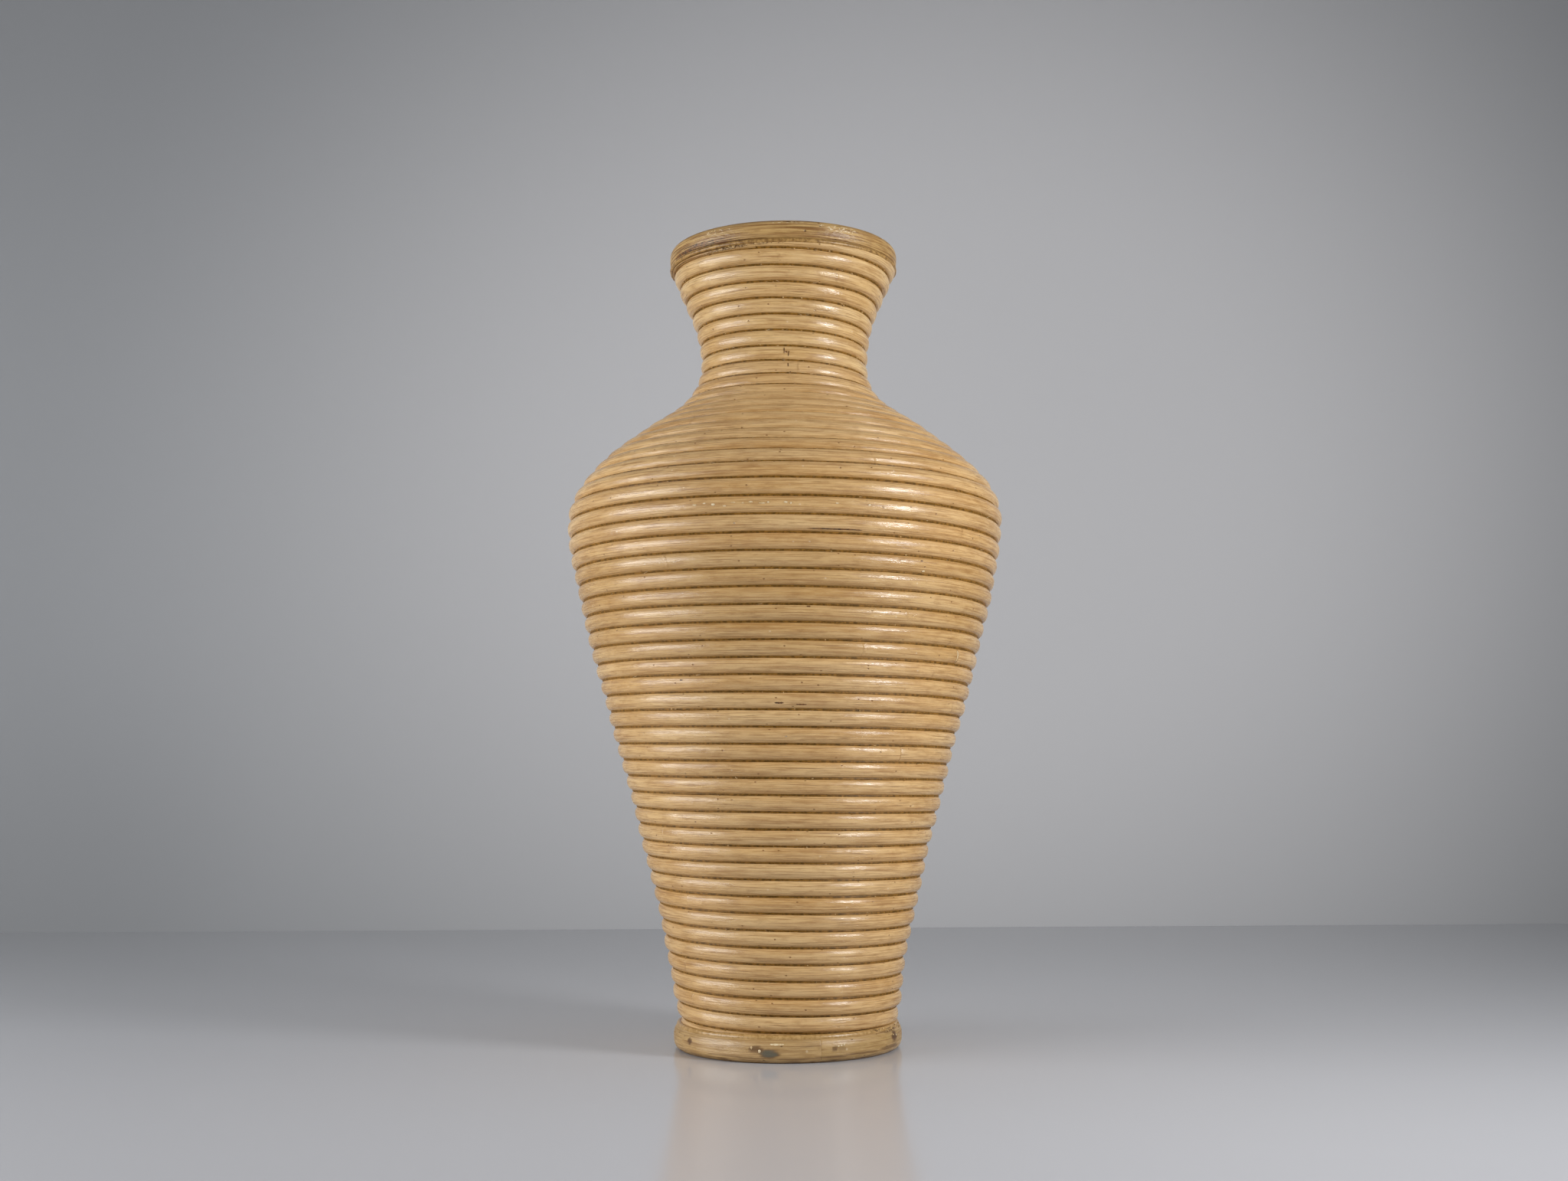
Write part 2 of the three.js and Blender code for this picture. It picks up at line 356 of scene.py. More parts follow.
    def _nodes(
        self, recipe: Recipe, place: Socket, along: Socket, colour: Socket
    ) -> tuple[Socket, Socket]:
        """Adds the faint rings where leaves grew on the cane.

        Args:
            recipe: The material in the making.
            place: The map of length and girth.
            along: The length alone.
            colour: The colour under them.

        Returns:
            The colour with them, and the rings.
        """
        bent = recipe.patches(place, (self.girth, self.girth / 4), 2)
        spaced = recipe.times(recipe.plus(bent, 7.0, along), 1 / self.node_spacing)
        rings = recipe.add("ShaderNodeTexVoronoi", voronoi_dimensions="1D")
        recipe.tree.links.new(spaced, rings.inputs["W"])
        rings.inputs["Scale"].default_value = 1
        outer, inner = 1.6 / self.node_spacing, 0.4 / self.node_spacing
        ring = recipe.step(rings.outputs["Distance"], outer, inner)
        broken = recipe.step(recipe.patches(place, (4, self.girth / 8), 2), 0.42, 0.7, 0.3)
        return recipe.mix(recipe.times(ring, broken), colour, self.line), ring

    def _groove_dirt_and_shade(
        self, recipe: Recipe, place: Socket, way: Socket, colour: Socket
    ) -> tuple[Socket, Socket]:
        """Adds a brown beside the neighbouring turns, partly glue and dust and partly painted
        shade.

        The cane mirrors less before the brown begins.

        Args:
            recipe: The material in the making.
            place: The map of length and girth.
            way: The way round the cane alone, from its outermost line.
            colour: The colour under it.

        Returns:
            The colour with it, and how strongly it darkens.
        """
        away = recipe.add("ShaderNodeMath", {0: way}, operation="ABSOLUTE").outputs[0]
        edge = recipe.plus(recipe.patches(place, (14, 2.5), 3), self.groove_stray, away)
        low = self.groove_place
        darkening = recipe.step(edge, low, low + self.groove_width, self.groove_share)
        low -= self.dull_place
        dull = recipe.plus(recipe.step(edge, low, low + self.dull_width), -0.4, 0.5)
        recipe.tree.links.new(dull, recipe.shader.inputs["Specular IOR Level"])
        return recipe.mix(darkening, colour, self.groove), darkening


@dataclass(frozen=True)
class PlywoodFinish:
    """Pale birch plywood, sanded and left bare, with its plies showing at the edge."""

    name: str
    wood: str
    grain: str
    glue: str
    dust: str
    ply: float = 1.5
    roughness: float = 0.78
    relief: float = 0.12

    def build(self) -> bpy.types.Material:
        """Builds the material on the object's own place.

        Returns:
            The material.
        """
        recipe = Recipe(self.name)
        place = recipe.object_place()
        height = recipe.add("ShaderNodeSeparateXYZ", {0: place}).outputs[2]
        grain = recipe.patches(place, (60, 2.2, 40), 5)
        colour = recipe.mix(recipe.step(grain, 0.42, 0.64), linear(self.wood), self.grain)
        links = {0: height, 1: self.ply}
        wave = recipe.add("ShaderNodeMath", links, operation="PINGPONG").outputs[0]
        colour = recipe.mix(recipe.step(wave, 0.2, 0.05, 0.7), colour, self.glue)
        dust = recipe.step(recipe.patches(place, (14, 14, 14), 4), 0.45, 0.7, 0.35)
        colour = recipe.mix(dust, colour, self.dust)
        return recipe.finish(colour, self.roughness, grain, self.relief)


@dataclass(frozen=True)
class SteelFinish:
    """Wire nail steel, dulled, with brown rust where the varnish let damp in."""

    name: str
    steel: str
    rust: str
    relief: float = 0.08

    def build(self) -> bpy.types.Material:
        """Builds the material on the object's own place.

        Returns:
            The material.
        """
        recipe = Recipe(self.name)
        place = recipe.object_place()
        rust = recipe.step(recipe.patches(place, (1.1, 1.1, 1.1), 4), 0.42, 0.6)
        colour = recipe.mix(rust, linear(self.steel), self.rust)
        metal = recipe.add("ShaderNodeMapRange", {0: rust, 3: 0.85, 4: 0.0}).outputs[0]
        recipe.tree.links.new(metal, recipe.shader.inputs["Metallic"])
        return recipe.finish(colour, recipe.plus(rust, 0.35, 0.42), rust, self.relief)


@dataclass(frozen=True)
class MottledFinish:
    """Stuff in small amounts: dried glue, wood filler, torn fibre, and pale patches that are
    painted glints.
    """

    name: str
    pale: str
    dark: str
    roughness: float = 0.5
    shine: float = 0.5
    relief: float = 0.2

    def build(self) -> bpy.types.Material:
        """Builds the material on the object's own place.

        Returns:
            The material.
        """
        recipe = Recipe(self.name)
        place = recipe.object_place()
        tone = recipe.patches(place, (2.5, 2.5, 2.5), 3)
        colour = recipe.mix(recipe.step(tone, 0.35, 0.65), linear(self.pale), self.dark)
        recipe.shader.inputs["Specular IOR Level"].default_value = self.shine
        return recipe.finish(colour, self.roughness, tone, self.relief)


@dataclass(frozen=True)
class WallLine:
    """The line through the middle of the wall's cane, in a half plane through the axis.

    A reach is how far the curve keeps its direction at the place it belongs to.
    """

    foot_radius: float = 76.8
    foot_height: float = 18.3
    foot_lean: float = 2.0
    foot_reach: float = 92.4
    body_rise: float = 368.9
    belly_radius: float = 158.1
    belly_reach_down: float = 62.0
    belly_reach_up: float = 28.6
    shoulder_rise: float = 63.9
    shoulder_radius: float = 105.8
    shoulder_slope: float = 38.8
    shoulder_reach_down: float = 18.9
    shoulder_reach_up: float = 21.7
    collar_rise: float = 58.6
    neck_radius: float = 57.7
    neck_reach_down: float = 33.5
    neck_reach_up: float = 31.2
    flare_rise: float = 74.9
    mouth_radius: float = 80.3
    mouth_lean: float = 21.8
    mouth_reach: float = 36.2
    samples: int = 400

    @property
    def mouth_height(self) -> float:
        """The height of the rim's seat."""
        below_neck = self.foot_height + self.body_rise + self.shoulder_rise
        return below_neck + self.collar_rise + self.flare_rise

    def curves(self) -> list[tuple[Array, ...]]:
        """The four curves of the line, each as its four control points, from the rim down."""
        angles = (self.mouth_lean, self.shoulder_slope, self.foot_lean)
        lean, slope, foot = (math.radians(angle) for angle in angles)
        belly_height = self.foot_height + self.body_rise
        shoulder_height = belly_height + self.shoulder_rise
        mouth = np.array([self.mouth_radius, self.mouth_height])
        neck = np.array([self.neck_radius, shoulder_height + self.collar_rise])
        shoulder = np.array([self.shoulder_radius, shoulder_height])
        belly = np.array([self.belly_radius, belly_height])
        base = np.array([self.foot_radius, self.foot_height])
        mouth_way = np.array([-math.sin(lean), -math.cos(lean)])
        down = np.array([0.0, -1.0])
        slope_way = np.array([math.cos(slope), -math.sin(slope)])
        foot_way = np.array([math.sin(foot), math.cos(foot)])
        above = shoulder - self.shoulder_reach_up * slope_way
        below = shoulder + self.shoulder_reach_down * slope_way
        return [
            (mouth, mouth + self.mouth_reach * mouth_way, neck - self.neck_reach_up * down, neck),
            (neck, neck + self.neck_reach_down * down, above, shoulder),
            (shoulder, below, belly - self.belly_reach_up * down, belly),
            (belly, belly + self.belly_reach_down * down, base + self.foot_reach * foot_way, base),
        ]

    def table(self) -> tuple[Array, Array]:
        """Samples the line.

        Returns:
            The distance of each sample from the rim, and its radius and height.
        """
        share = np.linspace(0, 1, self.samples)[:, None]
        rest = 1 - share
        rows = [
            rest**3 * a + 3 * rest**2 * share * b + 3 * rest * share**2 * c + share**3 * d
            for a, b, c, d in self.curves()
        ]
        points = np.vstack([rows[0]] + [row[1:] for row in rows[1:]])
        return run(points), points


def run(points: Array) -> Array:
    """How far each point of a line lies along it."""
    return np.concatenate([[0.0], np.cumsum(np.linalg.norm(np.diff(points, axis=0), axis=1))])


@dataclass
class Bend:
    """The stations that a straight cane is bent to, one for each of its rings of corners.

    A split cane is flat on its back and bulges on its face by its thickness at each.
    """

    centres: Array
    ups: Array
    outs: Array
    radii: Array
    lengths: Array
    split_thickness: Array | None = None


def at_bearing(bearing: Array, radial: Array, height: Array) -> Array:
    """Places points, or turns vectors, of the half plane through the axis to their bearings.

    Args:
        bearing: Degrees from the front towards +X.
        radial: Distances from the axis.
        height: Heights.

    Returns:
        One row of X, Y and Z for each bearing.
    """
    angle = np.radians(bearing)
    return np.stack([radial * np.sin(angle), -radial * np.cos(angle), height + 0 * angle], axis=-1)


def section(angle: Array, fullness: float) -> tuple[Array, Array]:
    """The outline of a cane of radius 1.

    Args:
        angle: Radians round the cane from its outermost line.
        fullness: 2 for a round cane, more where sanding has squared it.

    Returns:
        How far each point lies up along the wall and out of it.
    """
    side, bulge = np.sin(angle), np.cos(angle)
    return tuple(np.sign(way) * abs(way) ** (2 / fullness) for way in (side, bulge))


def bent_cane(bend: Bend, sides: int, fullness: float = 2.0) -> bpy.types.Mesh:
    """Rolls a flat sheet up to a cane, maps its surface, bends it and closes it.

    Args:
        bend: The stations to bend it to.
        sides: How many corners are in its section.
        fullness: How square its section is.

    Returns:
        The bent cane. Its map gives the length along it and, from the outermost line,
        the way round it.
    """
    bm = bmesh.new()
    bmesh.ops.create_grid(bm, x_segments=len(bend.radii) - 1, y_segments=sides, size=1)
    mesh = to_mesh(bm, "cane")
    flat = np.empty(len(mesh.vertices) * 3)
    mesh.vertices.foreach_get("co", flat)
    flat = flat.reshape(-1, 3)
    station = np.rint((flat[:, 0] + 1) / 2 * (len(bend.radii) - 1)).astype(int)
    angle = flat[:, 1] * math.pi
    corner = np.empty(len(mesh.loops), dtype=np.int32)
    mesh.loops.foreach_get("vertex_index", corner)
    layer = mesh.uv_layers.new(name=CANE_UV)
    spread = np.stack([bend.lengths[station], angle * bend.radii[station]], axis=-1)
    layer.uv.foreach_set("vector", spread[corner].ravel())

    side, bulge = section(angle, fullness)
    if bend.split_thickness is not None:
        bulge = np.where(bulge > 0, bulge * (bend.split_thickness / bend.radii)[station], 0)
    outline = side[:, None] * bend.ups[station] + bulge[:, None] * bend.outs[station]
    bent = bend.centres[station] + bend.radii[station][:, None] * outline
    mesh.vertices.foreach_set("co", bent.ravel())
    bm = bmesh.new()
    bm.from_mesh(mesh)
    bmesh.ops.remove_doubles(bm, verts=bm.verts, dist=WELD)
    bmesh.ops.holes_fill(bm, edges=[edge for edge in bm.edges if edge.is_boundary], sides=0)
    bm.to_mesh(mesh)
    bm.free()
    return mesh


def uneven(bearings: Array) -> Array:
    """A smooth random number between -1 and 1 for each bearing."""
    return np.array([noise.noise(Vector((0.17 * bearing, 0.31, 0.73))) for bearing in bearings])


def rounded(
    bearings: Array, radius_here: tuple[float, float], cane_radius: float, easing: float
) -> tuple[Array, Array]:
    """Adds the stations that round off a cane's two sawn ends.

    Args:
        bearings: The stations' bearings, first to last.
        radius_here: The distance from the axis at the first and last station.
        cane_radius: The cane's radius.
        easing: How far the edge is rounded off, in millimetres.

    Returns:
        The bearings with the new ones among them, and the cane's radius at each.
    """
    insets = easing * np.array([0.0, 0.3, 1.0])
    glint_patches = easing * np.array([1.0, 0.3, 0.0])
    first, last = (np.degrees(insets / radius) for radius in radius_here)
    placed = np.concatenate([bearings[0] + first, bearings[1:-1], bearings[-1] - last[::-1]])
    radii = np.full(len(placed), cane_radius)
    radii[: len(glint_patches)] -= glint_patches
    radii[-len(glint_patches) :] -= glint_patches[::-1]
    return placed, radii


def saw(mesh: bpy.types.Mesh, height: float, side: int) -> None:
    """Cuts a closed mesh off level and closes it.

    Args:
        mesh: The mesh.
        height: The height of the cut.
        side: 1 to take away what is above the cut, -1 what is below.
    """
    bm = bmesh.new()
    bm.from_mesh(mesh)
    bmesh.ops.bisect_plane(
        bm, geom=[*bm.verts, *bm.edges, *bm.faces], dist=FINE_WELD, plane_co=(0, 0, height),
        plane_no=(0, 0, side), clear_outer=True,
    )
    bmesh.ops.holes_fill(bm, edges=[edge for edge in bm.edges if edge.is_boundary], sides=0)
    bm.to_mesh(mesh)
    bm.free()


def to_mesh(bm: bmesh.types.BMesh, name: str) -> bpy.types.Mesh:
    """Turns a bmesh to a mesh.

    Args:
        bm: The bmesh, which is used up.
        name: The mesh's name.

    Returns:
        The mesh.
    """
    mesh = bpy.data.meshes.new(name)
    bm.to_mesh(mesh)
    bm.free()
    return mesh


def finish_piece(
    name: str, mesh: bpy.types.Mesh, material: bpy.types.Material, grade: Grade, *nodes: str
) -> None:
    """Brings a mesh drawn in millimetres to metres and makes it a piece of the vase.

    Args:
        name: The piece's name.
        mesh: The mesh.
        material: Its material.
        grade: The kind of its material. It is not used.
        nodes: The CAD nodes that it stands for.
    """
    bm = bmesh.new()
    bm.from_mesh(mesh)
    bmesh.ops.remove_doubles(bm, verts=bm.verts, dist=FINE_WELD)
    bmesh.ops.recalc_face_normals(bm, faces=bm.faces)
    bmesh.ops.scale(bm, vec=(MM, MM, MM), verts=bm.verts)
    bm.to_mesh(mesh)
    bm.free()
    mesh.name = name
    mesh.shade_smooth()
    mesh.set_sharp_from_angle(angle=SHARP_ANGLE)
    mesh.materials.append(material)
    piece = bpy.data.objects.new(name, mesh)
    bpy.context.scene.collection.objects.link(piece)
    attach(piece, BODY)
    if nodes:
        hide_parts(*nodes)
    log.info("%s: %d faces", name, len(mesh.polygons))


class Track:
    """A line that cane is bent along. A bearing finds each place on it."""

    cane_radius: float
    fullness: float

    def frame_at(self, bearing: Array) -> Axes:
        """The cane's middle at bearings, and the ways up the wall and out of it."""
        raise NotImplementedError

    def surface(self, bearing: Array, around: Array, lift: Array) -> Array:
        """Points on the cane.

        Args:
            bearing: Degrees along the track.
            around: Radians up from the cane's outermost line.
            lift: Millimetres above its surface.

        Returns:
            One row of X, Y and Z for each bearing.
        """
        centres, ups, outs = self.frame_at(bearing)
        side, bulge = section(around, self.fullness)
        outline = side[:, None] * ups + bulge[:, None] * outs
        return centres + (self.cane_radius + lift)[:, None] * outline


@dataclass
class Winding(Track):
    """The wall: one left-handed spiral of cane in ten lengths, butted end to end and sanded.

    Each joint is a turn and a bearing on it. Each wave of the cane's wander is its
    length in degrees, its phase and its share. The tail is set in by its insets at
    the stretch's bearings, counted from the end of the last full turn.
    """

    line: WallLine
    full_turns: int = 51
    scarf_bearing: float = -20.0
    scarf_depth: float = 3.6
    tail_bearing: float = 58.0
    tail_depth: float = 2.3
    cane_radius: float = 6.05
    fullness: float = 2.4
    joint_gap: float = 0.16
    joint_easing: float = 0.22
    joints: tuple[tuple[int, int], ...] = (
        (2, 200), (7, 160), (13, 120), (18, 200), (23, 240), (29, 60), (35, 40), (40, 200),
        (46, 120),
    )
    station_angle: float = 3.0
    sides: int = 24
    swell: float = 0.008
    swell_length: float = 521.0
    wander: float = 0.32
    waves: tuple[tuple[float, float, float], ...] = (
        (311.0, 0.4, 1.0), (173.0, 2.1, 0.6), (97.0, 4.4, 0.35),
    )
    tail_inset: tuple[float, ...] = (0.0, 1.6, 1.6, 4.2, 3.0, 2.4)
    tail_stretch: tuple[float, ...] = (-150.0, -100.0, 190.0, 250.0, 330.0, 420.0)
    grain_jump: float = 137.0
    seat_play: float = 0.1

    def __post_init__(self) -> None:
        """Samples the wall and shares it out among the turns."""
        self.distances, self.points = self.line.table()
        room = self.distances[-1] - self.scarf_depth - self.tail_depth
        self.pitch = room / self.full_turns

    def wall_at(self, distance: Array) -> Axes:
        """Finds the wall at distances along it from the rim.

        Args:
            distance: Millimetres from the rim's seat. Past either end the wall runs straight on.

        Returns:
            The point, the way down the wall and the way out of it, each as radius and height.
        """
        inside = np.clip(distance, 0, self.distances[-1])
        around = 0.25
        low = np.clip(inside - around, 0, None)
        high = np.clip(inside + around, None, self.distances[-1])
        place, before, after = (
            np.stack([np.interp(d, self.distances, self.points[:, k]) for k in (0, 1)], axis=-1)
            for d in (inside, low, high)
        )
        down = (after - before) / np.linalg.norm(after - before, axis=-1, keepdims=True)
        out = np.stack([-down[..., 1], down[..., 0]], axis=-1)
        return place + (distance - inside)[..., None] * down, down, out

    def distance(self, bearing: Array) -> Array:
        """How far the middle of the cane lies along the wall at a bearing."""
        return self.scarf_depth - self.pitch / 2 + self.pitch * bearing / TURN

    @staticmethod
    def turned(bearing: Array, place: Array, down: Array, out: Array) -> Axes:
        """Turns a place of the wall, and the ways up and out of it, to a bearing."""
        return tuple(at_bearing(bearing, row[..., 0], row[..., 1]) for row in (place, -down, out))

    def frame_at(self, bearing: Array) -> Axes:
        """Finds the cane, set in and wandering as the hand left it.

        Args:
            bearing: Degrees counted along the spiral.

        Returns:
            The cane's middle, and the ways up the wall and out of it.
        """
        place, down, out = self.wall_at(self.distance(bearing))
        angle = 2 * np.pi * bearing
        stray = sum(size * np.sin(angle / wave + phase) for wave, phase, size in self.waves)
        inset = np.interp(bearing - self.full_turns * TURN, self.tail_stretch, self.tail_inset)
        place = place + (self.wander * stray - inset)[..., None] * out
        return self.turned(bearing, place, down, out)

    def ends(self) -> list[float]:
        """The bearings where the lengths of cane begin and end."""
        last = self.tail_bearing + (self.full_turns + 1) * TURN
        return [self.scarf_bearing, *(turn * TURN + bearing for turn, bearing in self.joints), last]

    def bend(self, start: float, end: float) -> Bend:
        """Lays out a length of cane.

        Args:
            start: The bearing where it begins.
            end: The bearing where it ends.

        Returns:
            Its stations.
        """
        count = math.ceil((end - start) / self.station_angle) + 1
        bearings = np.linspace(start, end, count)
        radius_here = tuple(self.wall_at(self.distance(bearings[[0, -1]]))[0][:, 0])
        gap = self.joint_gap / 2
        bearings[0] += math.degrees(gap / radius_here[0])
        bearings[-1] -= math.degrees(gap / radius_here[1])
        bearings, radii = rounded(bearings, radius_here, self.cane_radius, self.joint_easing)
        radii = radii * (1 + self.swell * np.sin(2 * np.pi * bearings / self.swell_length))
        centres, ups, outs = self.frame_at(bearings)
        return Bend(centres, ups, outs, radii, run(centres))

    def build(self, finish: CaneFinish, others: dict[int, CaneFinish]) -> None:
        """Makes every length of the spiral.

        Args:
            finish: The finish of most lengths.
            others: The finish of each other length, by its number.
        """
        material = finish.build()
        made = {other: other.build() for other in set(others.values())}
        ends = self.ends()
        offset = 0.0
        for number, (start, end) in enumerate(zip(ends, ends[1:]), 1):
            bend = self.bend(start, end)
            bend.lengths += offset
            offset = bend.lengths[-1] + self.grain_jump
            mesh = bent_cane(bend, self.sides, self.fullness)
            if number == 1:
                saw(mesh, self.line.mouth_height - self.seat_play, 1)
            if number == len(ends) - 1:
                saw(mesh, self.line.foot_height + self.seat_play, -1)
            chosen = made[others[number]] if number in others else material
            finish_piece(f"cane_{number:02d}", mesh, chosen, Grade.WALL, f"wall_cane_{number:02d}")


@dataclass
class BentRing(Track):
    """A cane, or a bead of glue, bent to a level ring with its ends butted."""

    radius: float
    height: float
    cane_radius: float
    joint_bearing: float
    stations: int
    sides: int
    fullness: float = 2.0
    joint_gap: float = 0.05
    joint_easing: float = 0.08
    rough: float = 0.0

    def frame_at(self, bearing: Array) -> Axes:
        """The cane's middle at bearings, and the ways up and out."""
        ones = np.ones(len(bearing))
        return (
            at_bearing(bearing, self.radius * ones, self.height * ones),
            at_bearing(bearing, 0 * ones, ones),
            at_bearing(bearing, ones, 0 * ones),
        )

    def draw(self) -> bpy.types.Mesh:
        """Draws the ring.

        Returns:
            Its mesh.
        """
        opening = math.degrees(self.joint_gap / 2 / self.radius)
        first = self.joint_bearing + opening
        bearings = np.linspace(first, first + TURN - 2 * opening, self.stations)
        radius_here = (self.radius, self.radius)
        bearings, radii = rounded(bearings, radius_here, self.cane_radius, self.joint_easing)
        radii += self.rough * uneven(bearings)
        lengths = np.radians(bearings - bearings[0]) * self.radius
        return bent_cane(Bend(*self.frame_at(bearings), radii, lengths), self.sides, self.fullness)


@dataclass(frozen=True)
class Blemish:
    """A soft-edged mark on a ring: its middle, its half sizes in millimetres and its strength."""

    mark: Mark
    bearing: float
    height: float
    half_length: float
    half_height: float
    strength: float


@dataclass
class Rim:
    """The cane that closes the mouth."""

    ring: BentRing

    def build(self, finish: CaneFinish) -> None:
        """Makes the rim."""
        finish_piece("rim", self.ring.draw(), finish.build(), Grade.RIM, "rim_ring")


@dataclass
class Foot:
    """The foot: a bent cane ring nailed round a plywood disc."""

    ring: BentRing
    blemishes: tuple[Blemish, ...]
    outer_share: float = 1.12
    # The bottom edge carries a painted contact shadow this high and this strong.
    contact_shadow_height: float = 1.8
    contact_shadow_share: float = 0.9
    dirt_height: float = 4.2
    disc_radius: float = 64.8
    disc_thickness: float = 12.0
    disc_height: float = 8.8
    disc_corners: int = 128
    disc_easing: float = 0.7
    nail_count: int = 9
    nail_bearing: float = -14.0
    nail_sink: float = 0.4
    nail_length: float = 30.0
    nail_point: float = 3.0
    nail_corners: int = 20
    nail_radius: float = 1.0
    head_radius: float = 2.0
    head_thickness: float = 0.9
    head_easing: float = 0.35

    def build(self, cane: CaneFinish, wood: PlywoodFinish, steel: SteelFinish) -> None:
        """Makes the ring, the disc and the nails.

        Args:
            cane: The ring's finish.
            wood: The disc's finish.
            steel: The nails' finish.
        """
        mesh = self.ring.draw()
        saw(mesh, 0, -1)
        self._stain_and_shade(mesh)
        finish_piece("foot", mesh, cane.build(), Grade.FOOT, "foot_ring")
        finish_piece("base", self._disc(), wood.build(), Grade.BASE, "base_disc")
        material = steel.build()
        for number in range(self.nail_count):
            name = f"nail_{number + 1}"
            finish_piece(name, self._nail(number), material, Grade.NAIL, f"foot_{name}")

    def _stain_and_shade(self, mesh: bpy.types.Mesh) -> None:
        """Gives the ring's corners the strength of each mark there, and in the stain layer a
        painted contact shadow along the bottom edge.

        Args:
            mesh: The ring's mesh.
        """
        places = np.array([vert.co for vert in mesh.vertices])
        bearing = np.degrees(np.arctan2(places[:, 0], -places[:, 1]))
        outside = np.hypot(places[:, 0], places[:, 1]) > self.ring.radius
        spots = np.stack([bearing * 0.11, places[:, 2] * 0.7, 0 * bearing + 3], axis=-1)
        grain = np.array([noise.fractal(Vector(spot), 0.7, 2.2, 4) for spot in spots])
        # A painted contact shadow darkens the bottom edge all round, and grime darkens the ring
        # above it in patches.
        edge = np.clip(1 - places[:, 2] / self.contact_shadow_height, 0, 1) * self.contact_shadow_share
        low = np.clip(1 - places[:, 2] / self.dirt_height, 0, None)
        darkening = low * (0.5 + grain * 1.1) + 0.1 * grain
        layers = {mark: np.zeros(len(places)) for mark in Mark}
        layers[Mark.STAIN_AND_SHADE] = np.clip(np.maximum(darkening, edge), 0, 1)
        for spot in self.blemishes:
            along = (bearing - spot.bearing + TURN / 2) % TURN - TURN / 2
            along = np.radians(along) * self.ring.radius * self.outer_share / spot.half_length
            across = (places[:, 2] - spot.height) / spot.half_height
            inside = 1.35 - np.hypot(along, across) + 0.3 * grain
            strength = np.clip(inside * 2.4, 0, 1) * spot.strength * outside
            layers[spot.mark] = np.maximum(layers[spot.mark], strength)
        for mark, values in layers.items():
            mesh.attributes.new(mark.value, "FLOAT", "POINT").data.foreach_set("value", values)

    def _disc(self) -> bpy.types.Mesh:
        """Draws the plywood disc with eased edges.

        Returns:
            Its mesh.
        """
        bm = bmesh.new()
        place = Matrix.Translation((0, 0, self.disc_height))
        bmesh.ops.create_cone(
            bm, cap_ends=True, segments=self.disc_corners, radius1=self.disc_radius,
            radius2=self.disc_radius, depth=self.disc_thickness, matrix=place,
        )
        rims = [edge for edge in bm.edges if abs(edge.verts[0].co.z - edge.verts[1].co.z) < 1]
        bmesh.ops.bevel(
            bm, geom=rims, offset=self.disc_easing, segments=3, profile=0.5, affect="EDGES",
            material=-1,
        )
        return to_mesh(bm, "disc")

    def _nail(self, number: int) -> bpy.types.Mesh:
        """Draws a wire nail and drives it in.

        Args:
            number: The nail's number, from 0.

        Returns:
            Its mesh.
        """
        under, tip = -self.head_thickness, -self.nail_length
        outline = [
            (0.0, 0.0), (self.head_radius - self.head_easing, -0.05),
            (self.head_radius, -self.head_easing), (self.head_radius, under),
            (self.nail_radius, under), (self.nail_radius, self.nail_point + tip), (0.0, tip),
        ]
        bm = bmesh.new()
        corners = [bm.verts.new((y, x, 0)) for x, y in outline]
        edges = [bm.edges.new(pair) for pair in zip(corners, corners[1:])]
        bmesh.ops.spin(
            bm, geom=[*corners, *edges], cent=(0, 0, 0), axis=(1, 0, 0), angle=2 * math.pi,
            steps=self.nail_corners, use_merge=True,
        )
        bmesh.ops.remove_doubles(bm, verts=bm.verts, dist=WELD)
        bearing = self.nail_bearing + TURN * number / self.nail_count
        reach = self.ring.radius + self.ring.cane_radius - self.nail_sink
        spot = at_bearing(np.array(bearing), np.array(reach), np.array(self.disc_height))
        turn = Matrix.Rotation(math.radians(bearing - 90), 4, "Z")
        bmesh.ops.transform(bm, matrix=Matrix.Translation(Vector(spot)) @ turn, verts=bm.verts)
        return to_mesh(bm, "nail")


@dataclass
class Ribs:
    """The split cane ribs that stand against the wall inside."""

    winding: Winding
    count: int = 6
    first_bearing: float = 10.0
    half_width: float = 5.0
    thickness: float = 3.6
    set_in: float = 6.75
    top_drop: float = 12.0
    foot_play: float = 0.3
    step: float = 6.0
    sides: int = 20
    grain_jump: float = 700.0

    def build(self, finish: CaneFinish) -> None:
        """Makes the ribs.

        Args:
            finish: Their finish.
        """
        material = finish.build()
        low = self.winding.distances[-1] - self.foot_play
        distance = np.linspace(self.top_drop, low, math.ceil((low - self.top_drop) / self.step))
        place, _, out = self.winding.wall_at(distance)
        place = place - self.set_in * out
        for number in range(self.count):
            bearing = self.first_bearing + TURN * number / self.count
            centres = at_bearing(bearing, place[:, 0], place[:, 1])
            ups = at_bearing(bearing + 90, np.ones(len(distance)), np.zeros(len(distance)))
            outs = at_bearing(bearing, -out[:, 0], -out[:, 1])
            radii = np.full(len(distance), self.half_width)
            lengths = distance + self.grain_jump * number
            thickness = np.full(len(distance), self.thickness)
            bend = Bend(centres, ups, outs, radii, lengths, thickness)
            name = f"rib_{number + 1}"
            finish_piece(name, bent_cane(bend, self.sides), material, Grade.SPLIT, f"inner_{name}")


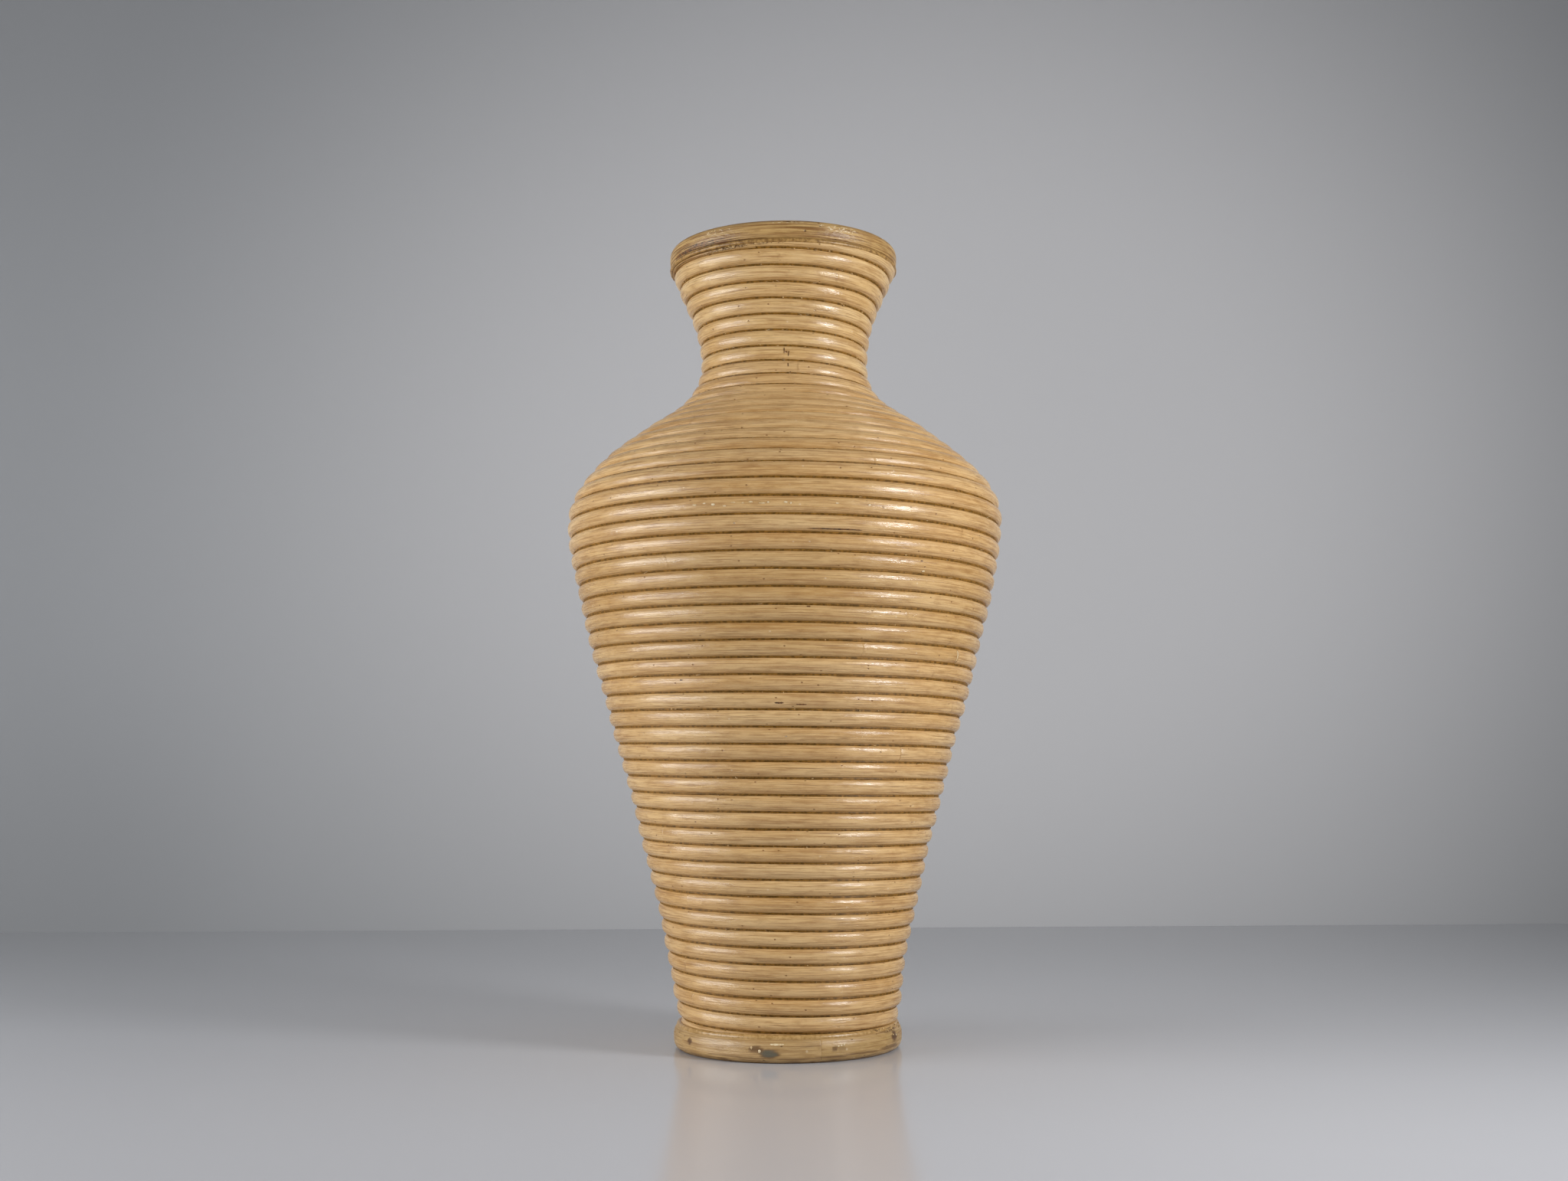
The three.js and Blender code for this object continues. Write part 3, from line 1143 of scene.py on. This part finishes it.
@dataclass
class Glue:
    """What fills the grooves: a split wedge, filler, dried glue, dust and torn fibres.

    A depth is how far a thing lies out of the line between two turns' middles, and a
    rise how far above it. Crumbs with even and odd numbers lie within so many turns.
    """

    winding: Winding
    seam_overrun: float = 36.0
    seam_step: float = 3.0
    seam_depth: float = 2.9
    seam_radius: float = 0.95
    seam_stray: float = 0.22
    seam_sides: int = 6
    wedge_start: float = -106.0
    wedge_overlap: float = 6.0
    wedge_stations: int = 60
    wedge_play: float = 0.7
    wedge_reach: float = 5.9
    wedge_thinning: tuple[float, ...] = (1.2, 0, 0, 1.0)
    wedge_sides: int = 20
    wedge_fullness: float = 2.6
    crumbs: int = 700
    rim_crumbs: int = 260
    foot_crumbs: int = 60
    crumb_radius: tuple[float, float] = (0.2, 0.55)
    crumb_turns: tuple[int, int] = (50, 14)
    crumb_depth: tuple[float, float] = (3.3, 4.4)
    crumb_rise: tuple[float, float] = (-0.5, 0.5)
    rim_crumb_bearing: tuple[float, float, float] = (-46, 8, -26)
    rim_crumb_depth: tuple[float, float] = (4.6, 5.7)
    rim_crumb_rise: tuple[tuple[float, ...], ...] = ((-44, -26, -4), (0.3, 2.4, 4.2))
    foot_crumb_bearing: tuple[float, float] = (46, 84)
    foot_crumb_depth: tuple[float, float] = (6.2, 8.2)
    foot_crumb_rise: tuple[float, float] = (-2.6, 0.6)
    fibres: int = 110
    fibre_turns: int = 30
    fibre_depth: tuple[float, float] = (3.4, 4.6)
    fibre_length: tuple[float, float] = (2.0, 6.0)
    fibre_radius: tuple[float, float] = (0.09, 0.16)
    fibre_tip: float = 0.03

    def build(
        self, wedge: CaneFinish, seam: MottledFinish, fillers: tuple[MottledFinish, MottledFinish],
        crumb: MottledFinish, fibre: bpy.types.Material,
    ) -> None:
        """Makes the wedge, the seam, the fillers of rim and foot, the crumbs and the fibres.

        Args:
            wedge: The wedge's finish.
            seam: The seam's finish.
            fillers: The finishes of the filler under the rim and on the foot.
            crumb: The crumbs' finish.
            fibre: The fibres' material.
        """
        rim_filler, foot_filler = (filler.build() for filler in fillers)
        line = self.winding.line
        finish_piece("glue_seam", self._seam(), seam.build(), Grade.WALL)
        finish_piece("rim_wedge", self._wedge(), wedge.build(), Grade.RIM)
        rim = BentRing(
            radius=line.mouth_radius + 5.5, height=line.mouth_height - 0.3, cane_radius=1.5,
            joint_bearing=200, stations=400, sides=12, rough=0.3,
        )
        finish_piece("rim_filler", rim.draw(), rim_filler, Grade.RIM)
        foot = BentRing(
            radius=line.foot_radius + 2.8, height=line.foot_height - 1.2, cane_radius=2.3,
            joint_bearing=200, stations=240, sides=14, rough=0.12,
        )
        finish_piece("foot_filler", foot.draw(), foot_filler, Grade.FOOT)
        finish_piece("glue_crumbs", self._crumbs(), crumb.build(), Grade.WALL)
        finish_piece("torn_fibres", self._fibres(), fibre, Grade.WALL)

    def _seam(self) -> bpy.types.Mesh:
        """Draws the bead that lies in the bottom of the groove, all the way down the wall.

        Returns:
            Its mesh.
        """
        end = self.winding.full_turns * TURN + self.seam_overrun
        bearings = np.arange(-self.seam_overrun, end, self.seam_step)
        above, below = (self.winding.frame_at(bearings + turn) for turn in (0, TURN))
        centres, ups, outs = ((first + second) / 2 for first, second in zip(above, below))
        radii = self.seam_radius + self.seam_stray * uneven(bearings)
        bend = Bend(centres + self.seam_depth * outs, ups, outs, radii, run(centres))
        return bent_cane(bend, self.seam_sides)

    def _wedge(self) -> bpy.types.Mesh:
        """Draws the split wedge that closes the gap between the rim and the first turn.

        Returns:
            Its mesh.
        """
        end = self.winding.scarf_bearing + self.wedge_overlap
        bearings = np.linspace(self.wedge_start, end, self.wedge_stations)
        gap = self.winding.distance(bearings + TURN) - self.winding.cane_radius
        place, down, out = self.winding.wall_at(gap / 2)
        axes = self.winding.turned(bearings, place, down, out)
        lengths = np.radians(bearings) * place[:, 0]
        thirds = bearings[[0, self.wedge_stations // 3, 2 * self.wedge_stations // 3, -1]]
        reach = self.wedge_reach - np.interp(bearings, thirds, self.wedge_thinning)
        bend = Bend(*axes, gap / 2 + self.wedge_play, lengths, reach)
        return bent_cane(bend, self.wedge_sides, self.wedge_fullness)

    def _groove(self, bearing: float, depth: float) -> tuple[Vector, Vector, Vector, Vector]:
        """Finds a place in the groove below the cane.

        Args:
            bearing: Degrees along the spiral.
            depth: How far out it lies.

        Returns:
            The place, and the ways along the groove, up and out of it.
        """
        turns = np.array([bearing, bearing + TURN])
        middle, up, out = (Vector(row.mean(axis=0)) for row in self.winding.frame_at(turns))
        place = middle + out * depth
        up, out = up.normalized(), out.normalized()
        return place, up.cross(out), up, out

    def _crumb_place(self, number: int) -> tuple[float, float, float]:
        """Chooses where a crumb lies: under the rim, where the tail ends, or in any groove.

        Args:
            number: The crumb's number.

        Returns:
            Its bearing, its depth in the groove and its rise above it.
        """
        if number < self.rim_crumbs:
            bearing = random.triangular(*self.rim_crumb_bearing)
            rise = float(np.interp(bearing, *self.rim_crumb_rise))
            return bearing, random.uniform(*self.rim_crumb_depth), rise + random.gauss(0, 0.4)
        if number < self.rim_crumbs + self.foot_crumbs:
            bearing = self.winding.full_turns * TURN + random.uniform(*self.foot_crumb_bearing)
            depth = random.uniform(*self.foot_crumb_depth)
            return bearing, depth, random.uniform(*self.foot_crumb_rise)
        bearing = random.uniform(0, self.crumb_turns[number % 2] * TURN)
        return bearing, random.uniform(*self.crumb_depth), random.uniform(*self.crumb_rise)

    def _crumbs(self) -> bpy.types.Mesh:
        """Draws irregular crumbs, thickest under the rim and where the tail ends on the foot.

        Returns:
            Their mesh.
        """
        bm = bmesh.new()
        for number in range(self.rim_crumbs + self.foot_crumbs + self.crumbs):
            bearing, depth, rise = self._crumb_place(number)
            place, along, up, out = self._groove(bearing, depth)
            radius = random.uniform(*self.crumb_radius)
            made = bmesh.ops.create_icosphere(bm, subdivisions=1, radius=radius)["verts"]
            turn = Matrix((along * random.uniform(1.0, 2.6), up, out * 0.8)).transposed()
            for vert in made:
                vert.co = place + up * rise + turn @ (vert.co * random.uniform(0.7, 1.25))
        return to_mesh(bm, "crumbs")

    def _fibres(self) -> bpy.types.Mesh:
        """Draws fine slivers that stand out of the grooves.

        Returns:
            Their mesh.
        """
        bm = bmesh.new()
        for _ in range(self.fibres):
            bearing = random.uniform(0, self.fibre_turns * TURN)
            place, along, up, out = self._groove(bearing, random.uniform(*self.fibre_depth))
            length = random.uniform(*self.fibre_length)
            way = along * random.choice((-1, 1)) + up * random.uniform(-0.35, 0.35)
            way += out * random.uniform(0.0, 0.3)
            turn = way.normalized().to_track_quat("Z", "Y").to_matrix().to_4x4()
            made = bmesh.ops.create_cone(
                bm, cap_ends=True, segments=5, radius1=random.uniform(*self.fibre_radius),
                radius2=self.fibre_tip, depth=length,
            )["verts"]
            bmesh.ops.transform(bm, matrix=Matrix.Translation(place) @ turn, verts=made)
        return to_mesh(bm, "fibres")


@dataclass(frozen=True)
class Patch:
    """A thin patch on a cane, drawn out to a point at both ends.

    Its middle is at a turn, a bearing and an angle up from the cane's outermost line.
    Its length runs along the cane.
    """

    turn: int
    bearing: float
    around: float
    length: float
    width: float
    lift: float = 0.03

    def draw(self, bm: bmesh.types.BMesh, track: Track) -> None:
        """Draws the patch on a cane.

        Args:
            bm: The mesh that takes it.
            track: The line that the cane is bent along.
        """
        middle = self.turn * TURN + self.bearing
        radius = np.linalg.norm(track.frame_at(np.array([middle]))[0][0, :2])
        made = bmesh.ops.create_grid(bm, x_segments=24, y_segments=4, size=1)["verts"]
        shares = np.array([vert.co for vert in made])
        bearings = middle + np.degrees(shares[:, 0] * self.length / 2 / radius)
        ragged = 1 + 0.5 * uneven(shares[:, 0] * 40 + middle)
        taper = np.sqrt(np.clip(1 - shares[:, 0] ** 2, 0, 1)) * ragged
        spread = shares[:, 1] * taper * self.width / 2 / track.cane_radius
        angles = math.radians(self.around) + spread
        places = track.surface(bearings, angles, 0.05 + self.lift * (1.2 - shares[:, 1] ** 2))
        for vert, place in zip(made, places):
            vert.co = place


@dataclass
class Marks:
    """The larger marks: opened slits in the cane, dried glue on it, and pale patches on the rim
    that are painted glints.
    """

    slits: tuple[tuple[Track, tuple[Patch, ...]], ...]
    smears_and_glints: tuple[tuple[Track, tuple[Patch, ...]], ...]

    def build(self, slit: bpy.types.Material, smear_and_glint: bpy.types.Material) -> None:
        """Makes the marks.

        Args:
            slit: The slits' material.
            smear_and_glint: The material of the glue and of the painted glints.
        """
        for name, groups, material in (("slits", self.slits, slit), ("smears_and_glints", self.smears_and_glints, smear_and_glint)):
            bm = bmesh.new()
            for track, patches in groups:
                for patch in patches:
                    patch.draw(bm, track)
            finish_piece(name, to_mesh(bm, name), material, Grade.WALL)


@dataclass
class Studio:
    """The camera, the lamps, and a pale floor and backdrop with painted falloff of light."""

    camera_place: tuple[float, float, float] = (-0.9, -1316.0, 203.5)
    camera_pitch: float = 0.1018
    camera_roll: float = -0.0058
    lens: float = 40.02
    sensor: float = 36.0
    lamp_aim: tuple[float, float, float] = (0, 0, 0.3)
    air_shade: str = "BBBBBC"
    air_way: tuple[float, float, float] = (0, -0.98, 0.2)
    air_strength: tuple[float, float] = (0.78, 0.34)
    # The floor's lit and shaded colours, near and far: painted falloff of light.
    board_shades: tuple[str, str] = ("C8C9CE", "A8AAAE")
    board_light_falloff: tuple[float, float] = (-400, 900)
    board_roughness: float = 0.16
    board_shine: float = 0.36
    # The backdrop's lit and shaded colours, round a painted pool of light.
    paper_shades: tuple[str, str] = ("C3C3C5", "8A8C8F")
    paper_light_middle: tuple[float, float] = (260, 600)
    paper_light_falloff: tuple[float, float] = (300, 1300)
    paper_roughness: float = 0.9
    wall_distance: float = 0.95
    reach: float = 4.0

    def build(self) -> None:
        """Makes the whole set."""
        self._camera()
        self._floor()
        self._lamp("lamp_left", bearing=-72, distance=1.7, height=0.47, size=(1.4, 0.7), power=24)
        self._lamp(
            "lamp_right", bearing=57, distance=1.3, height=0.64, size=(0.32, 0.3), power=13.6,
        )
        self._air()
        bpy.context.scene.view_settings.view_transform = "Standard"

    def _camera(self) -> None:
        """Makes the camera at the photographed view."""
        data = bpy.data.cameras.new("camera")
        data.lens = self.lens
        data.sensor_width = self.sensor
        data.clip_start = 0.01
        data.clip_end = 50
        camera = bpy.data.objects.new("camera", data)
        pitch = Matrix.Rotation(math.pi / 2 + self.camera_pitch, 4, "X")
        turn = pitch @ Matrix.Rotation(self.camera_roll, 4, "Z")
        camera.matrix_world = Matrix.Translation(Vector(self.camera_place) * MM) @ turn
        bpy.context.scene.collection.objects.link(camera)
        bpy.context.scene.camera = camera

    def _air(self) -> None:
        """Makes the soft light of the room, which is dimmer above the camera's side."""
        world = bpy.data.worlds.new("studio_air")
        world.use_nodes = True
        tree = world.node_tree
        way = add_node(tree, "ShaderNodeTexCoord").outputs["Generated"]
        links = {0: way, 1: self.air_way}
        ahead = add_node(tree, "ShaderNodeVectorMath", links, operation="DOT_PRODUCT")
        away, ahead_of_it = self.air_strength
        links = {0: ahead.outputs["Value"], 1: 0.1, 2: 0.9, 3: away, 4: ahead_of_it}
        bright = add_node(tree, "ShaderNodeMapRange", links).outputs[0]
        background = tree.nodes["Background"]
        background.inputs["Color"].default_value = linear(self.air_shade)
        tree.links.new(bright, background.inputs["Strength"])
        bpy.context.scene.world = world

    def _floor(self) -> None:
        """Makes the floor and the backdrop, which shows only from its front. The floor is painted
        darker away from the front, and the backdrop darker away from a middle spot: painted falloff
        of light.
        """
        board = Recipe("pale_lacquered_board")
        spot = board.object_place()
        depth = board.add("ShaderNodeSeparateXYZ", {0: spot}).outputs[1]
        near, far = self.board_shades
        # The floor is painted darker away from the front: painted falloff of light.
        shade = board.mix(board.step(depth, *self.board_light_falloff), linear(near), far)
        grain = board.patches(spot, (3, 3, 3), 3)
        floor = board.finish(shade, self.board_roughness, grain, 0.002)
        board.shader.inputs["Specular IOR Level"].default_value = self.board_shine
        self._sheet("floor", floor, Matrix.Identity(4))
        paper = Recipe("grey_paper_painted_light")
        side = paper.add("ShaderNodeNewGeometry").outputs["Backfacing"]
        clear = paper.add("ShaderNodeBsdfTransparent").outputs[0]
        links = {0: side, 1: paper.shader.outputs[0], 2: clear}
        mixed = paper.add("ShaderNodeMixShader", links)
        surface = paper.tree.nodes["Material Output"].inputs["Surface"]
        paper.tree.links.new(mixed.outputs[0], surface)
        spot = paper.object_place()
        # The backdrop is lighter round this spot and darker away from it: a painted pool of light.
        across, up = self.paper_light_middle
        links = {0: spot, 1: (across, self.wall_distance / MM, up)}
        away = paper.add("ShaderNodeVectorMath", links, operation="DISTANCE")
        near, far = self.paper_shades
        painted_falloff = paper.step(away.outputs["Value"], *self.paper_light_falloff)
        shade = paper.mix(painted_falloff, linear(near), far)
        wall = paper.finish(shade, self.paper_roughness, paper.patches(spot, (2, 2, 2), 3), 0.01)
        quarter = Matrix.Rotation(math.pi / 2, 4, "X")
        upright = Matrix.Translation((0, self.wall_distance, 0)) @ quarter
        self._sheet("backdrop", wall, upright)

    def _sheet(self, name: str, material: bpy.types.Material, place: Matrix) -> None:
        """Makes a large flat sheet of the set.

        Args:
            name: Its name.
            material: Its material.
            place: Where it lies.
        """
        bm = bmesh.new()
        bmesh.ops.create_grid(bm, x_segments=1, y_segments=1, size=self.reach, matrix=place)
        mesh = to_mesh(bm, name)
        mesh.materials.append(material)
        sheet = bpy.data.objects.new(name, mesh)
        bpy.context.scene.collection.objects.link(sheet)

    def _lamp(
        self, name: str, bearing: float, distance: float, height: float,
        size: tuple[float, float], power: float,
    ) -> None:
        """Makes a soft lamp that faces the middle of the vase.

        Args:
            name: Its name.
            bearing: Degrees from the front towards +X.
            distance: Metres from the vase's axis.
            height: Metres above the floor.
            size: Its width and height in metres.
            power: Watts.
        """
        data = bpy.data.lights.new(name, "AREA")
        data.shape = "RECTANGLE"
        data.size, data.size_y = size
        data.energy = power
        lamp = bpy.data.objects.new(name, data)
        place = Vector(at_bearing(np.array(bearing), np.array(distance), np.array(height)))
        aim = Vector(self.lamp_aim) - place
        turn = aim.to_track_quat("-Z", "Y").to_matrix().to_4x4()
        lamp.matrix_world = Matrix.Translation(place) @ turn
        bpy.context.scene.collection.objects.link(lamp)


# Varnished rattan pole of 12 mm for the wall, and a browner length of it. The two lengths nearest
# the rim take a copy painted paler: painted light where the flared neck faces down and gets less
# light.
# The rim's pole is darker and coarser, and its split wedge closes the gap under it. The foot's pole
# is 19 mm thick. The ribs inside are split rattan without varnish.
WALL_CANE = CaneFinish(
    "varnished_rattan_pole", body="CCA56F", pale="DDBA85", warm="C99B5D", streak="926534",
    line="74491A", groove="704B10", roughness=0.22, girth=2 * math.pi * 6.05,
)
# A copy painted paler, as painted light on the shaded, downward-facing neck.
NECK_CANE_PAINTED_PALER = replace(
    WALL_CANE, name="rattan_pole_painted_paler", body="D3AE76", pale="E3C38E", warm="CFA465",
)
BROWNER_CANE = replace(
    WALL_CANE, name="browner_rattan_pole", body="C29B64", pale="D3B07B", warm="BF9254",
)
RIM_CANE = CaneFinish(
    "darker_rattan_pole", body="AF8A54", pale="C8A56B", warm="A97833", streak="79501F",
    line="4A3014", groove="5A3C1A", roughness=0.33, girth=2 * math.pi * 7.7, groove_place=10.0,
    streak_share=0.85, line_length=34.0, crowd=0.4, lumps=1.3,
)
FOOT_CANE = CaneFinish(
    "thick_rattan_pole", body="AA8A54", pale="C6A574", warm="A88245", streak="876132",
    line="4E3518", groove="5A3C1A", roughness=0.3, girth=2 * math.pi * 9.5, groove_place=12.0,
    streak_width=1.3, lumps=0.7,
)
SPLIT_WEDGE = replace(
    RIM_CANE, name="split_rattan_wedge", roughness=0.42, girth=12.0, groove_place=7.0, crowd=0.3,
    line_share=0.75,
)
SPLIT_CANE = CaneFinish(
    "bare_split_rattan", body="C7A675", pale="D8BC90", warm="BE9558", streak="A8844F",
    line="6F5230", groove="8A6A40", roughness=0.62, girth=2 * math.pi * 5.0, streak_width=0.8,
)
# Birch plywood for the base and dulled steel for the nails. The rest is opened rattan fibre in
# the slits, dusty dried glue in the grooves, wood filler under the rim and on the foot, crumbs
# of wood glue, and dried white glue, which also does for torn fibres and for the painted glints
# on the rim.
SLIT = MottledFinish("opened_rattan_fibre", pale="7A4E20", dark="38220A")
PLYWOOD = PlywoodFinish(
    "bare_birch_plywood", wood="C9A97C", grain="AF8A5B", glue="7A5B38", dust="8C7B66",
)
STEEL = SteelFinish("dulled_nail_steel", steel="8B8780", rust="4C3423")
GLUE_SEAM = MottledFinish("dusty_dried_glue", pale="8E6628", dark="5C4010", shine=0.2)
RIM_FILLER = MottledFinish("darker_wood_filler", pale="B18B50", dark="7E5B2A", roughness=0.4)
FOOT_FILLER = MottledFinish("sanded_wood_filler", pale="BE9A64", dark="A27E48", roughness=0.28)
GLUE_CRUMB = MottledFinish("dried_wood_glue", pale="D4B27A", dark="6A481E")
# Its pale colour also paints glints on the rim, where its highlights fall.
GLUE_AND_GLINT_SMEAR = MottledFinish("dried_white_glue_and_glint", pale="E9D8B4", dark="CDAE7C")

# The filled scar beside a nail, and the stains at the nails; then two long marks that darken the
# ring along the groove above it; then stains along its lower edge and at the nails on its far side.
FOOT_BLEMISHES = (
    Blemish(Mark.SCAR, -8.7, 7.0, 5.0, 2.1, 1.0),
    *(Blemish(Mark.STAIN_AND_SHADE, *row) for row in (
        (-56.5, 10.6, 2.5, 2.2, 0.95), (-15.2, 9.9, 4.4, 2.2, 0.75), (-8.7, 7.0, 6.2, 2.8, 0.75),
        (23.0, 9.8, 2.2, 1.5, 0.75), (26.6, 9.6, 3.6, 1.3, 0.35), (66.5, 11.4, 4.6, 3.0, 0.95),
        (63, 16.8, 14, 1.3, 0.6), (-48, 17.2, 16, 0.7, 0.4), (-32, 4.2, 12, 0.45, 0.6),
        (-18, 3.8, 9, 0.45, 0.6), (6, 3.8, 14, 0.45, 0.6), (22, 4.0, 10, 0.6, 0.7),
        (38, 4.6, 14, 0.8, 0.6), (62, 5.2, 12, 1.2, 0.7), (106, 9.0, 2.8, 2.2, 0.7),
        (146, 9.2, 2.4, 2.0, 0.8), (186, 8.9, 3.0, 2.2, 0.7), (226, 9.1, 2.2, 1.8, 0.8),
        (266, 8.8, 2.9, 2.3, 0.7),
    )),
)
# Each patch: its turn, its bearing, its angle, its length, its width and, where it isn't the
# usual one, its lift. On a ring there is only turn 0, which is left out.
WALL_SLITS = tuple(Patch(*row) for row in (
    (22, 12.0, -33, 38, 1.1), (31, 358.0, -6, 6, 0.9), (32, 4.5, -14, 7, 0.8),
    (27, 6.0, 48, 2.6, 1.3), (24, 36.5, 28, 2.0, 1.0), (30, 328.5, 25, 2.4, 1.1),
    (7, 0.2, 14, 0.7, 4.0), (7, 1.6, 2, 1.6, 0.7), (7, 3.0, -10, 0.6, 2.6), (8, 2.6, 4, 0.6, 2.6),
    (3, 53.0, -66, 6.0, 1.5, 0.06), (3, 60.5, -60, 5.0, 1.8, 0.06),
    (4, 61.5, -62, 4.0, 1.3, 0.06),
))
RIM_SLITS = tuple(Patch(0, *row) for row in (
    (-50, -12, 26, 0.6), (-40, -18, 38, 0.8), (-54, -25, 40, 0.9), (-34, -29, 34, 0.8),
    (-60, -34, 30, 1.0), (-44, -38, 44, 1.0), (-26, -43, 28, 0.9), (-66, -45, 34, 1.0),
    (-38, -50, 40, 1.2), (-14, -52, 22, 0.8), (12, 52, 16, 1.0), (4, 38, 12, 0.8),
    (17.5, 40, 1.6, 1.4),
))
WALL_SMEARS = tuple(Patch(*row) for row in (
    (20, 338.2, 3, 3.0, 0.9, 0.12), (20, 340.7, 9, 2.0, 0.8, 0.12),
    (20, 342.9, 2, 2.6, 1.0, 0.12), (20, 345.7, -6, 2.0, 0.8, 0.12),
    (20, 347.8, 9, 3.0, 0.8, 0.12), (20, 350.2, 6, 1.6, 0.9, 0.12),
    (20, 352.0, 10, 2.6, 1.1, 0.14), (20, 354.7, 4, 4.2, 0.7, 0.12),
    (20, 356.1, 8, 1.6, 1.0, 0.12), (21, 0.2, 8, 2.6, 1.1, 0.14), (21, 1.4, 5, 1.2, 1.1, 0.12),
    (21, 12.4, 9, 2.2, 0.7, 0.12), (21, 20.4, 8, 2.0, 0.8, 0.12), (24, 37.5, -35, 2.6, 1.6, 0.2),
    (29, 59.0, 5, 1.0, 8.5, 0.1), (3, 56.8, -66, 1.8, 2.2, 0.3), (3, 63.6, -64, 1.2, 1.4, 0.2),
    (4, 44.0, -70, 5.0, 1.0, 0.15), (4, 64.0, -66, 1.0, 1.6, 0.2),
))
FOOT_SMEARS = tuple(Patch(0, *row) for row in (
    (-17.6, 8, 1.2, 1.5, 0.1), (-13.6, 0, 1.6, 0.9, 0.1), (-5.2, 22, 9.0, 1.4, 0.03),
    (24.8, 9, 1.3, 1.0, 0.15), (26.4, 10, 1.2, 0.9, 0.15), (28.0, 11, 1.4, 0.9, 0.15),
    (65.0, 17, 1.2, 1.2, 0.15), (68.5, 13, 1.0, 1.4, 0.15),
))


def painted_glints(
    seed: int, count: int, bearings: tuple[float, float], arounds: tuple[float, float]
) -> tuple[Patch, ...]:
    """Scatters pale patches over a stretch of a ring, as painted glints where its highlights fall.

    Args:
        seed: The seed of the scatter.
        count: How many patches there are.
        bearings: Where the stretch begins and ends.
        arounds: The angles from the outermost line between which it lies.

    Returns:
        The patches.
    """
    dice = random.Random(seed)
    ranges = (bearings, arounds, (0.6, 2.2), (0.35, 0.6))
    return tuple(Patch(0, *(dice.uniform(*ends) for ends in ranges), 0.1) for _ in range(count))


def main() -> None:
    """Builds the vase's looks round the frame, and the set around them."""
    logging.basicConfig(level=logging.INFO, format="%(relativeCreated)d %(name)s %(message)s")
    random.seed(7)
    Studio().build()
    winding = Winding(WallLine())
    # The two lengths nearest the rim are painted paler, as painted light on the downward-facing
    # neck.
    winding.build(WALL_CANE, {1: NECK_CANE_PAINTED_PALER, 2: NECK_CANE_PAINTED_PALER, 6: BROWNER_CANE})
    rim = BentRing(
        radius=79.5, height=592.3, cane_radius=7.7, joint_bearing=160, stations=200, sides=48,
        fullness=2.8,
    )
    Rim(rim).build(RIM_CANE)
    foot = BentRing(
        radius=74.6, height=8.8, cane_radius=9.5, joint_bearing=16, stations=560, sides=72,
        fullness=2.8,
    )
    Foot(foot, FOOT_BLEMISHES).build(FOOT_CANE, PLYWOOD, STEEL)
    Ribs(winding).build(SPLIT_CANE)
    smear_and_glint = GLUE_AND_GLINT_SMEAR.build()
    Glue(winding).build(SPLIT_WEDGE, GLUE_SEAM, (RIM_FILLER, FOOT_FILLER), GLUE_CRUMB, smear_and_glint)
    # Pale patches on the rim where its highlights fall: painted glints.
    glint_patches = (
        *painted_glints(3, 36, (18, 38), (4, 30)),
        *painted_glints(5, 9, (-5, 10), (26, 40)),
        *painted_glints(8, 12, (-40, -26), (6, 26)),
    )
    slits = ((winding, WALL_SLITS), (rim, RIM_SLITS))
    smears_and_glints = ((winding, WALL_SMEARS), (foot, FOOT_SMEARS), (rim, glint_patches))
    Marks(slits, smears_and_glints).build(SLIT.build(), smear_and_glint)


if __name__ == "__main__":
    main()
